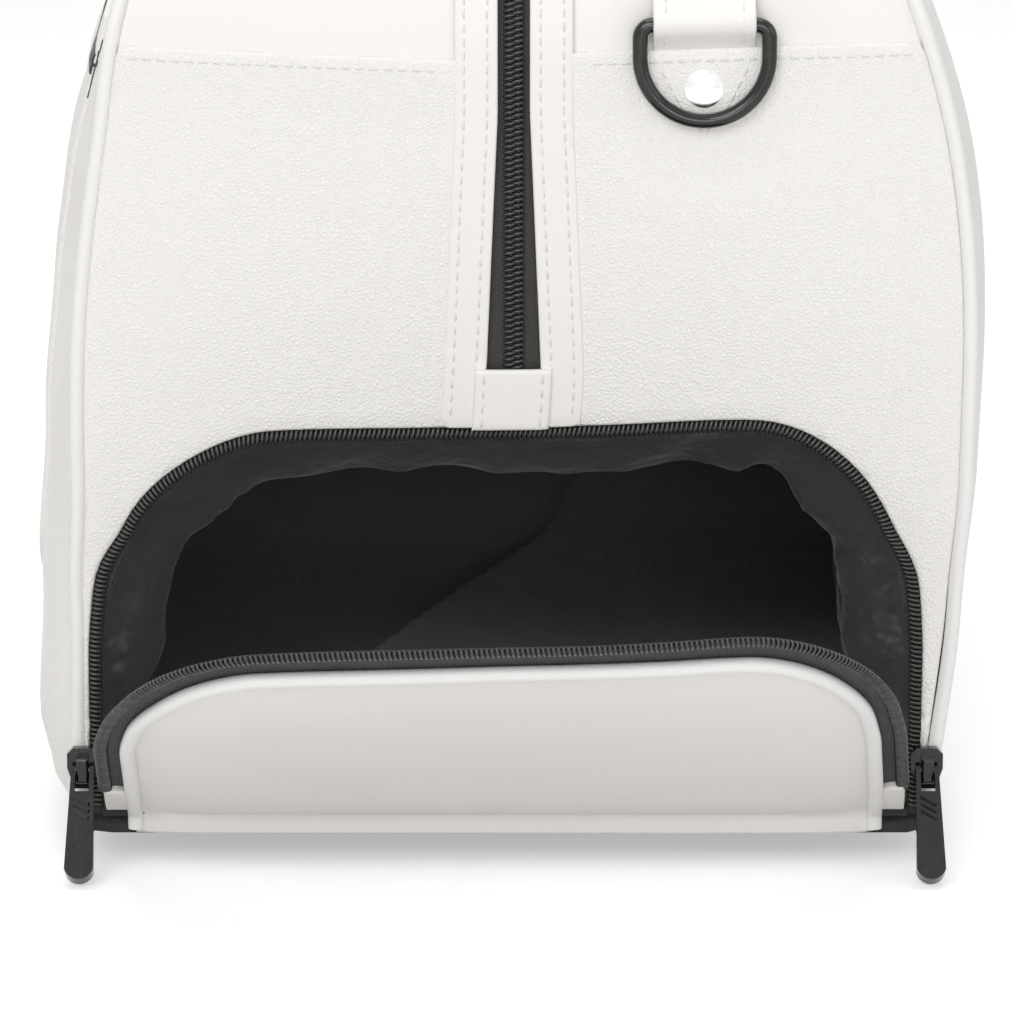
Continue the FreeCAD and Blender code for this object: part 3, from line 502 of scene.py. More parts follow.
def coil(name, stations, centre, half_width, height, phase, pitch, body="bag"):
    """A zip's nylon coil: a flattened helix that runs along stations."""
    points = []
    for k, (here, across, out) in enumerate(frames_along(stations, pitch / COIL_POINTS)):
        angle = 2 * pi * (k / COIL_POINTS + phase)
        points.append(here + across * (centre + half_width * cos(angle))
                      + out * (height + height * 0.9 * sin(angle)))
    verts, faces = [], []
    tube_mesh(points, COIL_WIRE, TUBE_SIDES, verts, faces)
    return piece(name, verts, faces, "zip_coil", body, crease=80)


def closed_zip(names, stations, aside, half_width, height):
    """The two halves of a closed zip, their coils in step."""
    for name, sign, phase in zip(names, (-1, 1), (0.0, 0.5)):
        coil(name, stations, sign * aside, half_width, height, phase, CLOSED_PITCH)


def open_zip(name, stations, height, phase, body):
    """One half of an open zip, its coil just inside the line it follows."""
    coil(name, stations, -HALF_COIL / 2, HALF_COIL / 2, height, phase, OPEN_PITCH, body)


def stitches(name, lines, slot="smooth_leather", body="bag"):
    """Rows of lockstitch: each stitch a short rounded bar half sunk in the leather.

    lines are lists of (point, across, out) stations.
    """
    pitch = STITCH + STITCH_GAP
    trim = STITCH_GAP / 2 / pitch
    dip, shoulder, crest = -1.15 * THREAD, 0.1 * THREAD, 0.45 * THREAD
    verts, faces = [], []
    for stations in lines:
        run = frames_along(stations, pitch)
        for (a, _, out_a), (b, _, out_b) in zip(run, run[1:]):
            start, end = a.lerp(b, trim), b.lerp(a, trim)
            points = [start + out_a * dip,
                      start.lerp(end, 0.14) + out_a * shoulder,
                      start.lerp(end, 0.5) + (out_a + out_b) * 0.5 * crest,
                      start.lerp(end, 0.86) + out_b * shoulder,
                      end + out_b * dip]
            tube_mesh(points, THREAD, TUBE_SIDES, verts, faces)
    return piece(name, verts, faces, slot, body, crease=80, material=BY_SLOT["thread"])


def along_shell(xs, s_values, height=0.0):
    """Stations up the band: xs(s) gives the place across it."""
    out = []
    for s in s_values:
        x = xs(s)
        here = shell(x, s, height)
        across = toward(here, shell(x + MM, s, height))
        along = toward(shell(x, s - MM, height), shell(x, s + MM, height))
        out.append((here, across, across.cross(along).normalized()))
    return out


def across_shell(s, x_values, height=0.0):
    """Stations across the band at a place s along it."""
    out = []
    for x in x_values:
        here = shell(x, s, height)
        along = toward(here, shell(x, s + MM, height))
        across = toward(here, shell(x + MM, s, height))
        out.append((here, along, across.cross(along).normalized()))
    return out


def values(low, high, step):
    count = max(1, ceil(abs(high - low) / step))
    return [low + (high - low) * k / count for k in range(count + 1)]


def arch(half, top, corner, foot, step=2 * MM):
    """Points (x, z, outward x, outward z) over an arch from its left foot to its right foot."""
    out = [(-half, z, -1.0, 0.0) for z in values(foot, top - corner, step)]
    out += [(corner * (1 - cos(a)) - half, top - corner * (1 - sin(a)),
             -cos(a), sin(a)) for a in values(0, pi / 2, step / corner)[1:]]
    out += [(x, top, 0.0, 1.0) for x in values(corner - half, 0, step)[1:]]
    return out + [(-x, z, -out_x, out_z) for x, z, out_x, out_z in reversed(out[:-1])]


def plan(rows):
    """Just the places of an arch's points."""
    return [(row[0], row[1]) for row in rows]


def oblong(u0, v0, u1, v1):
    return [(u0, v0), (u1, v0), (u1, v1), (u0, v1)]


def strip(first, second, lanes):
    """An outline up one edge of the band and back down another, each given as x at s."""
    return [(first(s), s) for s in lanes] + [(second(s), s) for s in reversed(lanes)]


def raised(lift):
    """The band's surface lifted by a constant."""
    return lambda x, s, h: shell(x, s, h + lift)


# ---- finishes
BY_SLOT = {}                  # each finish by its name, which is its slot's name


class Finish:
    """A procedural material: a Principled shader fed by textures in the part's own space."""

    def __init__(self, name, colour, roughness, **fixed):
        self.material = bpy.data.materials.new(name)
        BY_SLOT[name] = self.material
        self.material.use_nodes = True
        self.nodes = self.material.node_tree.nodes
        self.links = self.material.node_tree.links
        self.shader = self.nodes["Principled BSDF"]
        self.shader.inputs["Base Color"].default_value = (*colour, 1)
        self.shader.inputs["Roughness"].default_value = roughness
        for socket, value in fixed.items():
            self.shader.inputs[socket.replace("_", " ")].default_value = value
        self.place = self.nodes.new("ShaderNodeTexCoord").outputs["Object"]
        self.normal = None

    def put(self, kind, output, inputs, **settings):
        """Adds a shader node, feeds its inputs, and gives the output asked for."""
        node = self.nodes.new("ShaderNode" + kind)
        for key, value in settings.items():
            setattr(node, key, value)
        for key, value in inputs.items():
            if isinstance(value, bpy.types.NodeSocket):
                self.links.new(value, node.inputs[key])
            else:
                node.inputs[key].default_value = value
        return node.outputs[output]

    def speckle(self, size, detail=2.0, output="Fac"):
        """Soft noise with lumps of about this size."""
        return self.put("TexNoise", output, {"Vector": self.place, "Scale": 1 / size,
                                             "Detail": detail})

    def warped(self, size, amount):
        """The part's space bent by noise, so that what is laid on it looks hand made."""
        bend = self.speckle(size, 1.0, "Color")
        centred = self.put("VectorMath", 0, {0: bend, 1: (0.5, 0.5, 0.5)}, operation="SUBTRACT")
        scaled = self.put("VectorMath", 0, {0: centred, "Scale": amount}, operation="SCALE")
        return self.put("VectorMath", 0, {0: self.place, 1: scaled}, operation="ADD")

    def pebbles(self, size, place):
        """Distance from the creases between leather's pebbles, 0 in a crease."""
        return self.put("TexVoronoi", "Distance", {"Vector": place, "Scale": 1 / size,
                                                   "Randomness": 1.0},
                        feature="DISTANCE_TO_EDGE")

    def ribs(self, pitch, direction):
        """Evenly spaced ribs, such as the threads of a weave."""
        per_turn = 0.628 if direction == "DIAGONAL" else 0.314
        return self.put("TexWave", "Fac", {"Vector": self.place, "Scale": per_turn / pitch,
                                           "Distortion": 0.0},
                        wave_type="BANDS", bands_direction=direction, wave_profile="SIN")

    def ranged(self, value, low, high, to_low=0.0, to_high=1.0):
        return self.put("MapRange", "Result", {"Value": value, "From Min": low,
                                               "From Max": high, "To Min": to_low,
                                               "To Max": to_high},
                        interpolation_type="SMOOTHSTEP")

    def maths(self, operation, a, b):
        return self.put("Math", 0, {0: a, 1: b}, operation=operation)

    def tint(self, factor, dark, light):
        """Colours the surface between two colours by a texture."""
        colour = self.put("Mix", 2, {"Factor": factor, 6: (*dark, 1), 7: (*light, 1)},
                          data_type="RGBA")
        self.links.new(colour, self.shader.inputs["Base Color"])

    def gloss(self, value):
        self.links.new(value, self.shader.inputs["Roughness"])

    def emboss(self, height, depth, strength=1.0):
        """Raises the surface by a texture, depth metres from its lowest to its highest."""
        inputs = {"Height": height, "Distance": depth, "Strength": strength}
        if self.normal:
            inputs["Normal"] = self.normal
        self.normal = self.put("Bump", "Normal", inputs)
        self.links.new(self.normal, self.shader.inputs["Normal"])


def leather(name, light, dark, grain, depth, roughness):
    """White coated leather: pebbled or nearly smooth, with painted shade darkening its creases and
    a tone that varies at random in broad patches.
    """
    skin = Finish(name, light, roughness, Specular_IOR_Level=0.42)
    bent = skin.warped(6 * MM, 1.1 * MM)
    crease = skin.ranged(skin.pebbles(grain, bent), 0.0, 0.42)
    fine = skin.speckle(0.35 * MM)
    patchy = skin.speckle(40 * MM, 3.0)
    # Painted shade: the creases take the dark colour, and random broad patches lean a little
    # towards it too.
    crease_shade_and_patches = skin.maths("MULTIPLY", crease, skin.ranged(patchy, 0.2, 0.8, 0.82, 1.0))
    skin.tint(crease_shade_and_patches, dark, light)
    skin.gloss(skin.ranged(patchy, 0.3, 0.7, roughness - 0.05, roughness + 0.06))
    skin.emboss(skin.speckle(9 * MM, 3.0), 0.25 * MM, 0.5)
    skin.emboss(crease, depth)
    skin.emboss(fine, 0.02 * MM, 0.6)


def weave(name, light, dark, pitch, depth, roughness, directions, crumple=0.0, **fixed):
    """Cloth: two sets of threads crossing, with painted shade darkening the grooves between
    threads, uneven colour at random, and perhaps small creases.
    """
    cloth = Finish(name, light, roughness, **fixed)
    first = cloth.ribs(pitch, directions[0])
    second = cloth.ribs(pitch * 0.92, directions[1])
    threads = cloth.maths("MULTIPLY", first, second)
    # Painted shade: darker where the threads' relief is low, between the threads; the broad
    # speckle is random tone.
    cloth.tint(cloth.maths("MULTIPLY", cloth.ranged(threads, 0.0, 0.6, 0.4, 1.0),
                           cloth.ranged(cloth.speckle(12 * MM, 3.0), 0.25, 0.75, 0.7, 1.0)),
               dark, light)
    if crumple:
        cloth.emboss(cloth.speckle(22 * MM, 3.0), crumple, 0.8)
    cloth.emboss(threads, depth)
    cloth.emboss(cloth.speckle(0.5 * MM), 0.05 * MM, 0.6)


def metal(name, light, dark, roughness, metallic, **fixed):
    """Painted or plated metal with a faint cast skin and a patchy, random tone."""
    cast = Finish(name, light, roughness, Metallic=metallic, **fixed)
    worn = cast.speckle(3 * MM, 4.0)
    cast.tint(cast.ranged(worn, 0.25, 0.75), dark, light)
    cast.gloss(cast.ranged(cast.speckle(1.2 * MM, 3.0), 0.3, 0.7, roughness - 0.06,
                           roughness + 0.08))
    cast.emboss(worn, 0.008 * MM, 0.4)


def plastic(name, light, dark, roughness):
    """Moulded plastic with a faint speckle."""
    hard = Finish(name, light, roughness, Coat_Weight=0.12, Coat_Roughness=0.2)
    spots = hard.speckle(0.8 * MM, 3.0)
    hard.tint(spots, dark, light)
    hard.emboss(spots, 0.03 * MM, 0.7)


# The second colour of each leather is its painted crease shade, also the darker end of its random
# patches.
leather("grained_leather", (0.88, 0.86, 0.828), (0.84, 0.819, 0.785), 1.15 * MM, 0.14 * MM, 0.46)
leather("smooth_leather", (0.872, 0.85, 0.815), (0.842, 0.82, 0.785), 0.55 * MM, 0.01 * MM, 0.44)
leather("piping_leather", (0.88, 0.872, 0.857), (0.84, 0.83, 0.813), 0.6 * MM, 0.02 * MM, 0.42)
weave("thread", (0.87, 0.86, 0.84), (0.76, 0.75, 0.73), 0.3 * MM, 0.05 * MM, 0.55,
      ("DIAGONAL", "X"), Sheen_Weight=0.2)
weave("zip_tape", (0.062, 0.058, 0.055), (0.02, 0.019, 0.018), 0.8 * MM, 0.15 * MM, 0.7,
      ("DIAGONAL", "X"), Sheen_Weight=0.12, Sheen_Roughness=0.4)
plastic("zip_coil", (0.05, 0.047, 0.045), (0.024, 0.023, 0.022), 0.26)
weave("satin_lining", (0.07, 0.068, 0.066), (0.04, 0.039, 0.038), 0.45 * MM, 0.02 * MM, 0.28,
      ("Z", "DIAGONAL"), 6 * MM, Sheen_Weight=0.2, Sheen_Roughness=0.35, Specular_IOR_Level=0.8)
# The compartment's floor and back are a dark cloth; this light grey is painted light, brighter
# than the cloth to stand in for lamp light that barely reaches inside.
weave("floor_canvas", (0.32, 0.312, 0.304), (0.18, 0.176, 0.172), 0.9 * MM, 0.1 * MM, 0.8,
      ("X", "Y"), Sheen_Weight=0.2)
weave("base_fabric", (0.028, 0.028, 0.03), (0.012, 0.012, 0.013), 0.8 * MM, 0.12 * MM, 0.8,
      ("X", "Y"), Sheen_Weight=0.1)
plastic("board_plastic", (0.03, 0.03, 0.03), (0.02, 0.02, 0.02), 0.6)
plastic("stud_plastic", (0.035, 0.035, 0.035), (0.022, 0.022, 0.022), 0.38)
metal("black_metal", (0.03, 0.029, 0.028), (0.022, 0.021, 0.021), 0.2, 0.9, Coat_Weight=0.45,
      Coat_Roughness=0.1)
metal("bright_metal", (0.93, 0.93, 0.93), (0.89, 0.89, 0.89), 0.16, 1.0)

for part in frame["record"]["subparts"]:
    for place in frame["nodes"][part["node"]].material_slots:
        place.material = BY_SLOT[part["material_slot"]]


# ---- panels of the shell
def facing_inner(s):
    """Half width of the gap between the main zip's facings; it opens a little at its foot."""
    z = profile(s)[1]
    low = 3.1 * min(max((205 * MM - z) / (72 * MM), 0), 1)
    return (4.2 + low + 0.8 * smooth(z, 260 * MM, 290 * MM)) * MM


def facing_outer(s):
    return facing_inner(s) + FACING_WIDE


def edge_x(s):
    """Where the band's panels stop, just inside the piping."""
    return side_x(profile(s)[1]) - PIPING


def hem_roll(s):
    """Extra height where a grained panel is folded under along its upper edge."""
    return HEM_ROLL * (1 - smooth(HEM - profile(s)[1], 0, 20 * MM))


def end_panel(sign, side, end, place_of):
    """A grained end panel from the base to the hem, beside the main zip."""
    outline = [(facing_outer(s) - FACING_LAP, s) for s in values(ZIP_FOOT, STRAIGHT, 8 * MM)]
    foot = ZIP_FOOT
    if end == "front":        # it goes round the opening's arch as far as the facing
        over = plan(arch(OPEN_HALF, OPEN_TOP, OPEN_CORNER, BASE_TOP))
        outline = [(x, z - BASE_TOP) for x, z in reversed(over) if x > 17.5 * MM] + outline
        foot = 0.0
    outline += [(edge_x(s), s) for s in values(STRAIGHT, foot, 5 * MM)]
    patch(f"{end}_panel_{side}", [(sign * x, place_of(s)) for x, s in outline],
          lambda x, s, h: shell(x, s, h + hem_roll(s)), LEATHER, "grained_leather", step=4 * MM)


for sign, side in SIDES:
    for end, _, place_of in ENDS:
        end_panel(sign, side, end, place_of)
    low_s = STRAIGHT - 9 * MM          # tucked under the hem
    patch(f"top_panel_{side}",
          strip(lambda s: sign * (facing_outer(s) - FACING_LAP), lambda s: sign * edge_x(s),
                values(low_s, TOTAL - low_s, 4 * MM)),
          raised(-TOP_SUNK), LEATHER, "smooth_leather")
    patch(f"zip_facing_{side}",
          strip(lambda s: sign * facing_inner(s), lambda s: sign * facing_outer(s),
                values(ZIP_FOOT, TOTAL - ZIP_FOOT, 3 * MM)),
          raised(FACING_LIFT), 1.3 * MM, "smooth_leather", step=3 * MM, rim=0.7 * MM)

patch("rear_lower_panel",
      strip(lambda s: -edge_x(s), edge_x, values(TOTAL - ZIP_FOOT, TOTAL, 5 * MM)),
      shell, LEATHER, "grained_leather")


def corner_point(sign, s, inset):
    """A point in the corner between the band and a side panel."""
    y, z, out_y, out_z = profile(s)
    return settle((sign * (side_x(z) - inset), y - out_y * inset, z - out_z * inset))


for sign, side in SIDES:
    tube(f"piping_{side}",
         [corner_point(sign, s, PIPING_RADIUS - 0.6 * MM) for s in values(0, TOTAL, 2.5 * MM)],
         PIPING_RADIUS, "piping_leather", sides=16)
    rim = []
    for y, z, out_y, out_z in map(profile, values(0, TOTAL, 3 * MM)):
        rim.append((sign * (y - out_y * SIDE_INSET), z - out_z * SIDE_INSET))
    patch(f"side_panel_{side}", rim, lambda u, z, h: flank(sign, sign * u, z, h), LEATHER,
          "grained_leather")


# ---- the main zip
zip_low = ZIP_FOOT + 1 * MM
zip_high = TOTAL - zip_low
patch("main_zip_tape",
      strip(lambda s: TAPE_HALF, lambda s: -TAPE_HALF, values(zip_low, zip_high, 4 * MM)),
      raised(-1.6 * MM), 0.6 * MM, "zip_tape", step=4 * MM, rim=0.3 * MM)
middle = along_shell(lambda s: 0.0, values(zip_low, zip_high, 2 * MM))
closed_zip(("main_zip_coil", "main_zip_coil_right"), middle, 1.05 * MM, 1.4 * MM, -1.0 * MM)

facing_run = values(ZIP_FOOT + 3 * MM, TOTAL - ZIP_FOOT - 3 * MM, 3 * MM)
stitches("facing_stitches",
         [along_shell(lambda s: sign * (facing_outer(s) - inset), facing_run, FACING_LIFT)
          for sign in (-1, 1) for inset in FACING_SEAMS])

tab_low, tab_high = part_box("zip_tab_front")
TAB_HALF = tab_high.x
tab_foot = tab_low.z - BASE_TOP
tab_top = tab_high.z - BASE_TOP
for end, _, place_of in ENDS:
    patch(f"zip_tab_{end}",
          oblong(-TAB_HALF, place_of(tab_foot - 0.4 * MM), TAB_HALF, place_of(tab_top)),
          raised(TAB_LIFT), 1.5 * MM, "smooth_leather", step=1.5 * MM, rim=0.8 * MM)
    tab_run = values(place_of(tab_foot), place_of(tab_top - 0.6 * MM), MM)
    stitches(f"zip_tab_stitches_{end}",
             [along_shell(lambda s: x, tab_run, TAB_LIFT)
              for x in (-TAB_HALF + TAB_SEAM, TAB_HALF - TAB_SEAM)])

seam = STRAIGHT - HEM_SEAM
seam_xs = values(20 * MM, edge_x(STRAIGHT) - 2 * MM, 3 * MM)
stitches("hem_stitches",
         [across_shell(place_of(seam), [sign * x for x in seam_xs], hem_roll(seam))
          for _, _, place_of in ENDS for sign in (-1, 1)], "grained_leather")


# ---- D-ring straps
def bump(distance, half):
    """A smooth hump, 1 at its middle and 0 beyond half."""
    return 0.5 + 0.5 * cos(pi * min(abs(distance) / half, 1.0))


STRAP_HALF = (strap_high.x - strap_low.x) / 2
BAR_Z = ring_high.z - RING_WIRE
STRAP_FLAT = 1.5 * MM         # how far a strap stands off the leather beyond its ring's bar
# corners of the stitched vee, as (half its width, way below the hem)
VEE = ((11.2 * MM, 5.2 * MM), (6.2 * MM, 14.8 * MM), (0.4 * MM, 22.4 * MM))
VEE_SHARES = ((0, 0.25, 0.5, 0.75), (0, 0.33, 0.66, 1))


def strap_height(s):
    z = profile(s)[1]
    over_bar = STRAP_FLAT + 4.6 * MM * bump(z - BAR_Z, 8.5 * MM)
    return mix(0.2 * MM, over_bar, smooth(z, HEM - 1 * MM, HEM + 4 * MM))


def vee_arm(arm):
    """Points down one arm of the vee, -1 or 1, as (x from its middle, way below the hem)."""
    return [(arm * mix(x_a, x_b, share), mix(down_a, down_b, share))
            for (x_a, down_a), (x_b, down_b), shares in zip(VEE, VEE[1:], VEE_SHARES)
            for share in shares]


strap_top = STRAIGHT + SHOULDER * asin((strap_high.z - HEM) / SHOULDER)
seam_top = strap_top - 3 * MM
seam_half = STRAP_HALF - 3.2 * MM
seam_run = values(STRAIGHT + 1 * MM, seam_top, MM)
for end, sign, place_of in ENDS:
    aside = shell(sign * RING_X, place_of(STRAIGHT)).x - sign * RING_X
    middle_x = sign * RING_X - aside
    patch(f"d_ring_strap_{end}",
          oblong(middle_x - STRAP_HALF, place_of(STRAIGHT - 0.5 * MM), middle_x + STRAP_HALF,
                 place_of(strap_top)),
          lambda x, s, h: shell(x, s, h + strap_height(place_of(s))), 1.4 * MM,
          "smooth_leather", step=1.6 * MM, rim=0.8 * MM)
    rows = []
    for x in (middle_x - seam_half, middle_x + seam_half):
        row = along_shell(lambda s: x, [place_of(s) for s in seam_run])
        rows.append([(p + out * strap_height(s), across, out)
                     for (p, across, out), s in zip(row, seam_run)])
    rows.append([(p + out * STRAP_FLAT, across, out) for p, across, out in
                 across_shell(place_of(seam_top),
                              values(middle_x - seam_half, middle_x + seam_half, MM))])
    stitches(f"d_ring_strap_stitches_{end}", rows)
    outward = Vector((0, -sign, 0))
    stitches(f"d_ring_vee_stitches_{end}",
             [[(shell(middle_x + x, place_of(STRAIGHT - down), hem_roll(STRAIGHT - down)),
                Vector((1, 0, 0)), outward) for x, down in vee_arm(arm)] for arm in (-1, 1)],
             "grained_leather")


# ---- base
def rounded(half_x, half_y, radius):
    """Plane points round a rectangle with round corners."""
    out = []
    for k, (sx, sy) in enumerate(((1, 1), (-1, 1), (-1, -1), (1, -1))):
        for a in values(0, pi / 2, 0.25):
            angle = a + k * pi / 2
            out.append((sx * (half_x - radius) + radius * cos(angle),
                        sy * (half_y - radius) + radius * sin(angle)))
    return out


base_low, base_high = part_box("base_panel")
patch("base_panel", rounded(base_high.x, base_high.y, 7 * MM),
      lambda x, y, h: Vector((x, y, base_high.z + h)), base_high.z - base_low.z,
      "base_fabric", step=9 * MM, rim=1.6 * MM)


# ---- shoe compartment
def tunnel_at(u):
    """(x, z, outward x, outward z) at a share u of the way over the tunnel's arch."""
    k = min(max(u, 0.0), 1.0) * (len(TUNNEL) - 1)
    a, b = TUNNEL[int(k)], TUNNEL[min(int(k) + 1, len(TUNNEL) - 1)]
    return tuple(mix(p, q, k - int(k)) for p, q in zip(a, b))


TUNNEL = arch(tunnel_high.x, tunnel_high.z, OPEN_CORNER - OPEN_HALF + tunnel_high.x,
              tunnel_low.z, 1 * MM)
TUNNEL_LONG = 0.33          # metres over the arch, to give the plane its scale


def lining_point(u, y, h):
    """The satin lining: it falls from the zip and hangs in soft folds along the tunnel."""
    x, z, out_x, out_z = tunnel_at(u / TUNNEL_LONG)
    fall = smooth(y, FRONT + 2.6 * MM, FRONT + 24 * MM)
    loose = noise.fractal(Vector((u * 13, y * 7, 0.7)), 0.8, 2.0, 3) * 0.5 + 0.5
    turn = ripple(u * 7, y * 9, 6.0)
    pleat = abs(ripple(u * 30 + turn, y * 20 + u * 14, 3.1))
    crumple = abs(ripple(u * 80 + 2 * turn, y * 45 - u * 20, 9.3))
    folds = (4.6 * (1 - pleat) ** 2 + 1.3 * (1 - crumple) ** 2) * MM
    folds *= smooth(y, FRONT + 2 * MM, FRONT + 12 * MM)
    hang = (7 + 9 * loose) * MM * fall + folds + 0.4 * MM
    low = smooth(z, tunnel_low.z, tunnel_low.z + 45 * MM)
    far = 1 - 0.5 * smooth(y, FRONT + 90 * MM, FRONT + 200 * MM)
    hang *= (0.15 + 0.85 * low) * far
    return settle((x - out_x * (hang - h), y, z - out_z * (hang - h)))


mouth = tunnel_low.y + 0.3 * MM
patch("shoe_compartment_lining", oblong(0, mouth, TUNNEL_LONG, tunnel_high.y), lining_point,
      0.5 * MM, "satin_lining", step=2.4 * MM, rim=0.4 * MM)


def floor_point(x, y, h):
    """The canvas floor: a soft ridge runs back from its left, and its far end curls up."""
    sag = noise.fractal(Vector((x * 10, y * 8, 1.9)), 0.9, 2.0, 3) * 1.3 * MM
    beside = x + 79 * MM - 0.33 * (y - FRONT)
    ridge = FLOOR_RIDGE * exp(-hypot(beside, 1.5 * MM) / ((40 if beside > 0 else 8) * MM))
    deep = smooth(y, FRONT + 6 * MM, FRONT + 40 * MM)
    cove = FLOOR_COVE * smooth(y, tunnel_high.y - 70 * MM, tunnel_high.y) ** 2
    return Vector((x, y, tunnel_low.z + 1.2 * MM + h + (sag + 1.3 * MM + ridge) * deep + cove))


floor_half = tunnel_high.x - MM
# its light grey cloth is painted light standing in for light inside the compartment
patch("shoe_compartment_floor",
      oblong(-floor_half, mouth, floor_half, tunnel_high.y - MM), floor_point, 0.8 * MM,
      "satin_lining", step=2.4 * MM, rim=0.4 * MM, material=BY_SLOT["floor_canvas"])


def back_point(x, z, h):
    """The canvas wall that closes the tunnel, in loose folds."""
    fold = BACK_FOLDS * abs(ripple(x * 12, z * 9, 0.4))
    return Vector((x, tunnel_high.y - 4 * MM - h - fold, z))


# its light grey cloth is painted light standing in for light inside the compartment
patch("shoe_compartment_back", plan(TUNNEL), back_point, 0.8 * MM, "satin_lining", step=6 * MM,
      rim=0.4 * MM, material=BY_SLOT["floor_canvas"])

over = arch(OPEN_HALF - 0.2 * MM, OPEN_TOP - 0.2 * MM, OPEN_CORNER - 0.2 * MM,
            BASE_TOP + 3 * MM, 1.5 * MM)
rim_stations = []
for x, z, out_x, out_z in over:
    here = shell(x, z - BASE_TOP)
    way = toward(here, shell(x + out_x * MM, z - BASE_TOP + out_z * MM))
    rim_stations.append((here, way, Vector((0, -1, 0))))
open_zip("shoe_zip_upper_coil", rim_stations, -0.9 * MM, 0.0, "bag")
wide = arch(OPEN_HALF + 4 * MM, OPEN_TOP + 7 * MM, OPEN_CORNER + 4 * MM, BASE_TOP + MM, 2 * MM)
slim = arch(OPEN_HALF - HALF_COIL - 0.2 * MM, OPEN_TOP - HALF_COIL - 0.2 * MM,
            OPEN_CORNER - HALF_COIL, BASE_TOP + MM, 2 * MM)
patch("shoe_zip_upper_tape", plan(wide + slim[::-1]),
      lambda x, z, h: shell(x, z - BASE_TOP, h - 2.15 * MM), 0.5 * MM, "zip_tape",
      step=3 * MM, rim=0.25 * MM)


# ---- flap
FLAP_REACH = FLAP_TOP - HINGE.z


def leaf(x, w, h=0.0):
    """A point of the open flap: x across, w up from the hinge, h proud of its outer face.

    Below the hinge the face turns down over the front edge of the base.
    """
    lean = FLAP_LEAN - FLAP_TWIST * x / FLAP_HALF
    loose = 0.9 * MM * ripple(x * 24, w * 24, 5.0) + 0.8 * MM
    loose *= smooth(w, 30 * MM, FLAP_REACH)
    out = h - 0.6 * MM + loose
    tilt = lean * smooth(w, -5 * MM, 9 * MM)
    up = max(w, 0.0)
    aside = (-1.4 * MM - 0.02 * x) * smooth(w, 0, 60 * MM) + pinch(x, HINGE.z + w)
    return HINGE + Vector((x + aside, -out * cos(tilt) - up * sin(lean),
                           -out * sin(tilt) + up * cos(lean) + min(w, 0.0)))


def flap_arch(side_inset, top_inset, foot=FLAP_FOOT, step=2 * MM):
    """The flap's outline moved in, as (x, w, outward x, outward w)."""
    return [(x, z - HINGE.z, out_x, out_z) for x, z, out_x, out_z in
            arch(FLAP_HALF - side_inset, FLAP_TOP - top_inset, FLAP_CORNER - side_inset, foot,
                 step)]


TAPE_SIDE = 7 * MM
TAPE_TOP = 10 * MM
BEAD = 3.6 * MM
FACE_SIDE = TAPE_SIDE + BEAD
FACE_TOP = TAPE_TOP + BEAD
FACE_LAP = 1.8 * MM           # the face runs this far under its piping
CORNER_HIGH = 14 * MM
SKIRT = 6.3 * MM              # the flap's face hangs this far below its hinge
FOLD_TO = leaf(0, 5 * MM)
skirt_foot = HINGE.z - SKIRT


def crown(x, w):
    """The padded face: it swells away from its piping, least along its foot."""
    side = FLAP_HALF - FACE_SIDE - abs(x)
    top = FLAP_REACH - FACE_TOP - w
    corner = FLAP_CORNER - FACE_SIDE
    if side < corner and top < corner:
        side = corner - hypot(corner - side, corner - top)
        top = side
    edge = max(min(side, top), 0)
    foot = 0.45 + 0.55 * smooth(w, -SKIRT, 12 * MM)
    return FLAP_CROWN * (1 - exp(-edge / (9 * MM))) * foot


face = patch("flap_panel", plan(flap_arch(FACE_SIDE - FACE_LAP, FACE_TOP - FACE_LAP, skirt_foot)),
             lambda x, w, h: leaf(x, w, h + 1.5 * MM + crown(x, w)), 2 * MM,
             "smooth_leather", step=3 * MM, body=None)
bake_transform(face)
bead = tube("flap_piping",
            [leaf(x, w, 1.9 * MM) for x, w in plan(flap_arch(
                TAPE_SIDE + BEAD / 2, TAPE_TOP + BEAD / 2, skirt_foot + 1.5 * MM))],
            BEAD / 2 + 0.3 * MM, "piping_leather", sides=16, body=None)
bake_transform(bead)
coil_line = []
for x, w, out_x, out_w in flap_arch(0, 0, FLAP_FOOT + CORNER_HIGH - MM, 1.5 * MM):
    here = leaf(x, w)
    across = toward(here, leaf(x + out_x * MM, w + out_w * MM))
    outward = toward(here, leaf(x, w, MM))
    coil_line.append((here, across, outward))
open_zip("flap_zip_coil", coil_line, 0.7 * MM, 0.5, "shoe_flap")
patch("flap_zip_tape",
      plan(flap_arch(0.9 * MM, 0.9 * MM) + flap_arch(FACE_SIDE, FACE_TOP)[::-1]),
      lambda x, w, h: leaf(x, w, h - 0.1 * MM), 0.5 * MM, "zip_tape", step=3 * MM,
      rim=0.25 * MM, body="shoe_flap")
patch("flap_lining", [(-x, w) for x, w in plan(flap_arch(3.4 * MM, 3.4 * MM))],
      lambda x, w, h: leaf(-x, w, -0.9 * MM - h), 0.3 * MM, "satin_lining", step=4 * MM,
      rim=0.4 * MM, body="shoe_flap", swell=lambda d: 3.0 * MM * (1 - exp(-d / (12 * MM))))
for sign, side in SIDES:
    x0, x1 = sign * (FLAP_HALF - 0.9 * MM), sign * (FLAP_HALF - TAPE_SIDE - 1 * MM)
    w0, w1 = FLAP_FOOT - HINGE.z, FLAP_FOOT - HINGE.z + CORNER_HIGH
    patch(f"flap_corner_{side}",
          [(x0, w0), (x1, w0), (x1, w1 - 2 * MM), (mix(x1, x0, 0.4), w1), (x0, w1)],
          lambda x, w, h: leaf(x, w, h + 1.9 * MM), 2.2 * MM, "smooth_leather",
          step=1.5 * MM, rim=0.8 * MM, body="shoe_flap")
bead_low, bead_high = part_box("flap_hinge_bead")
tube("flap_hinge_bead",
     [Vector((x, HINGE.y, HINGE.z - 0.4 * MM)) for x in values(bead_low.x, bead_high.x, 4 * MM)],
     1.25 * MM, "base_fabric")


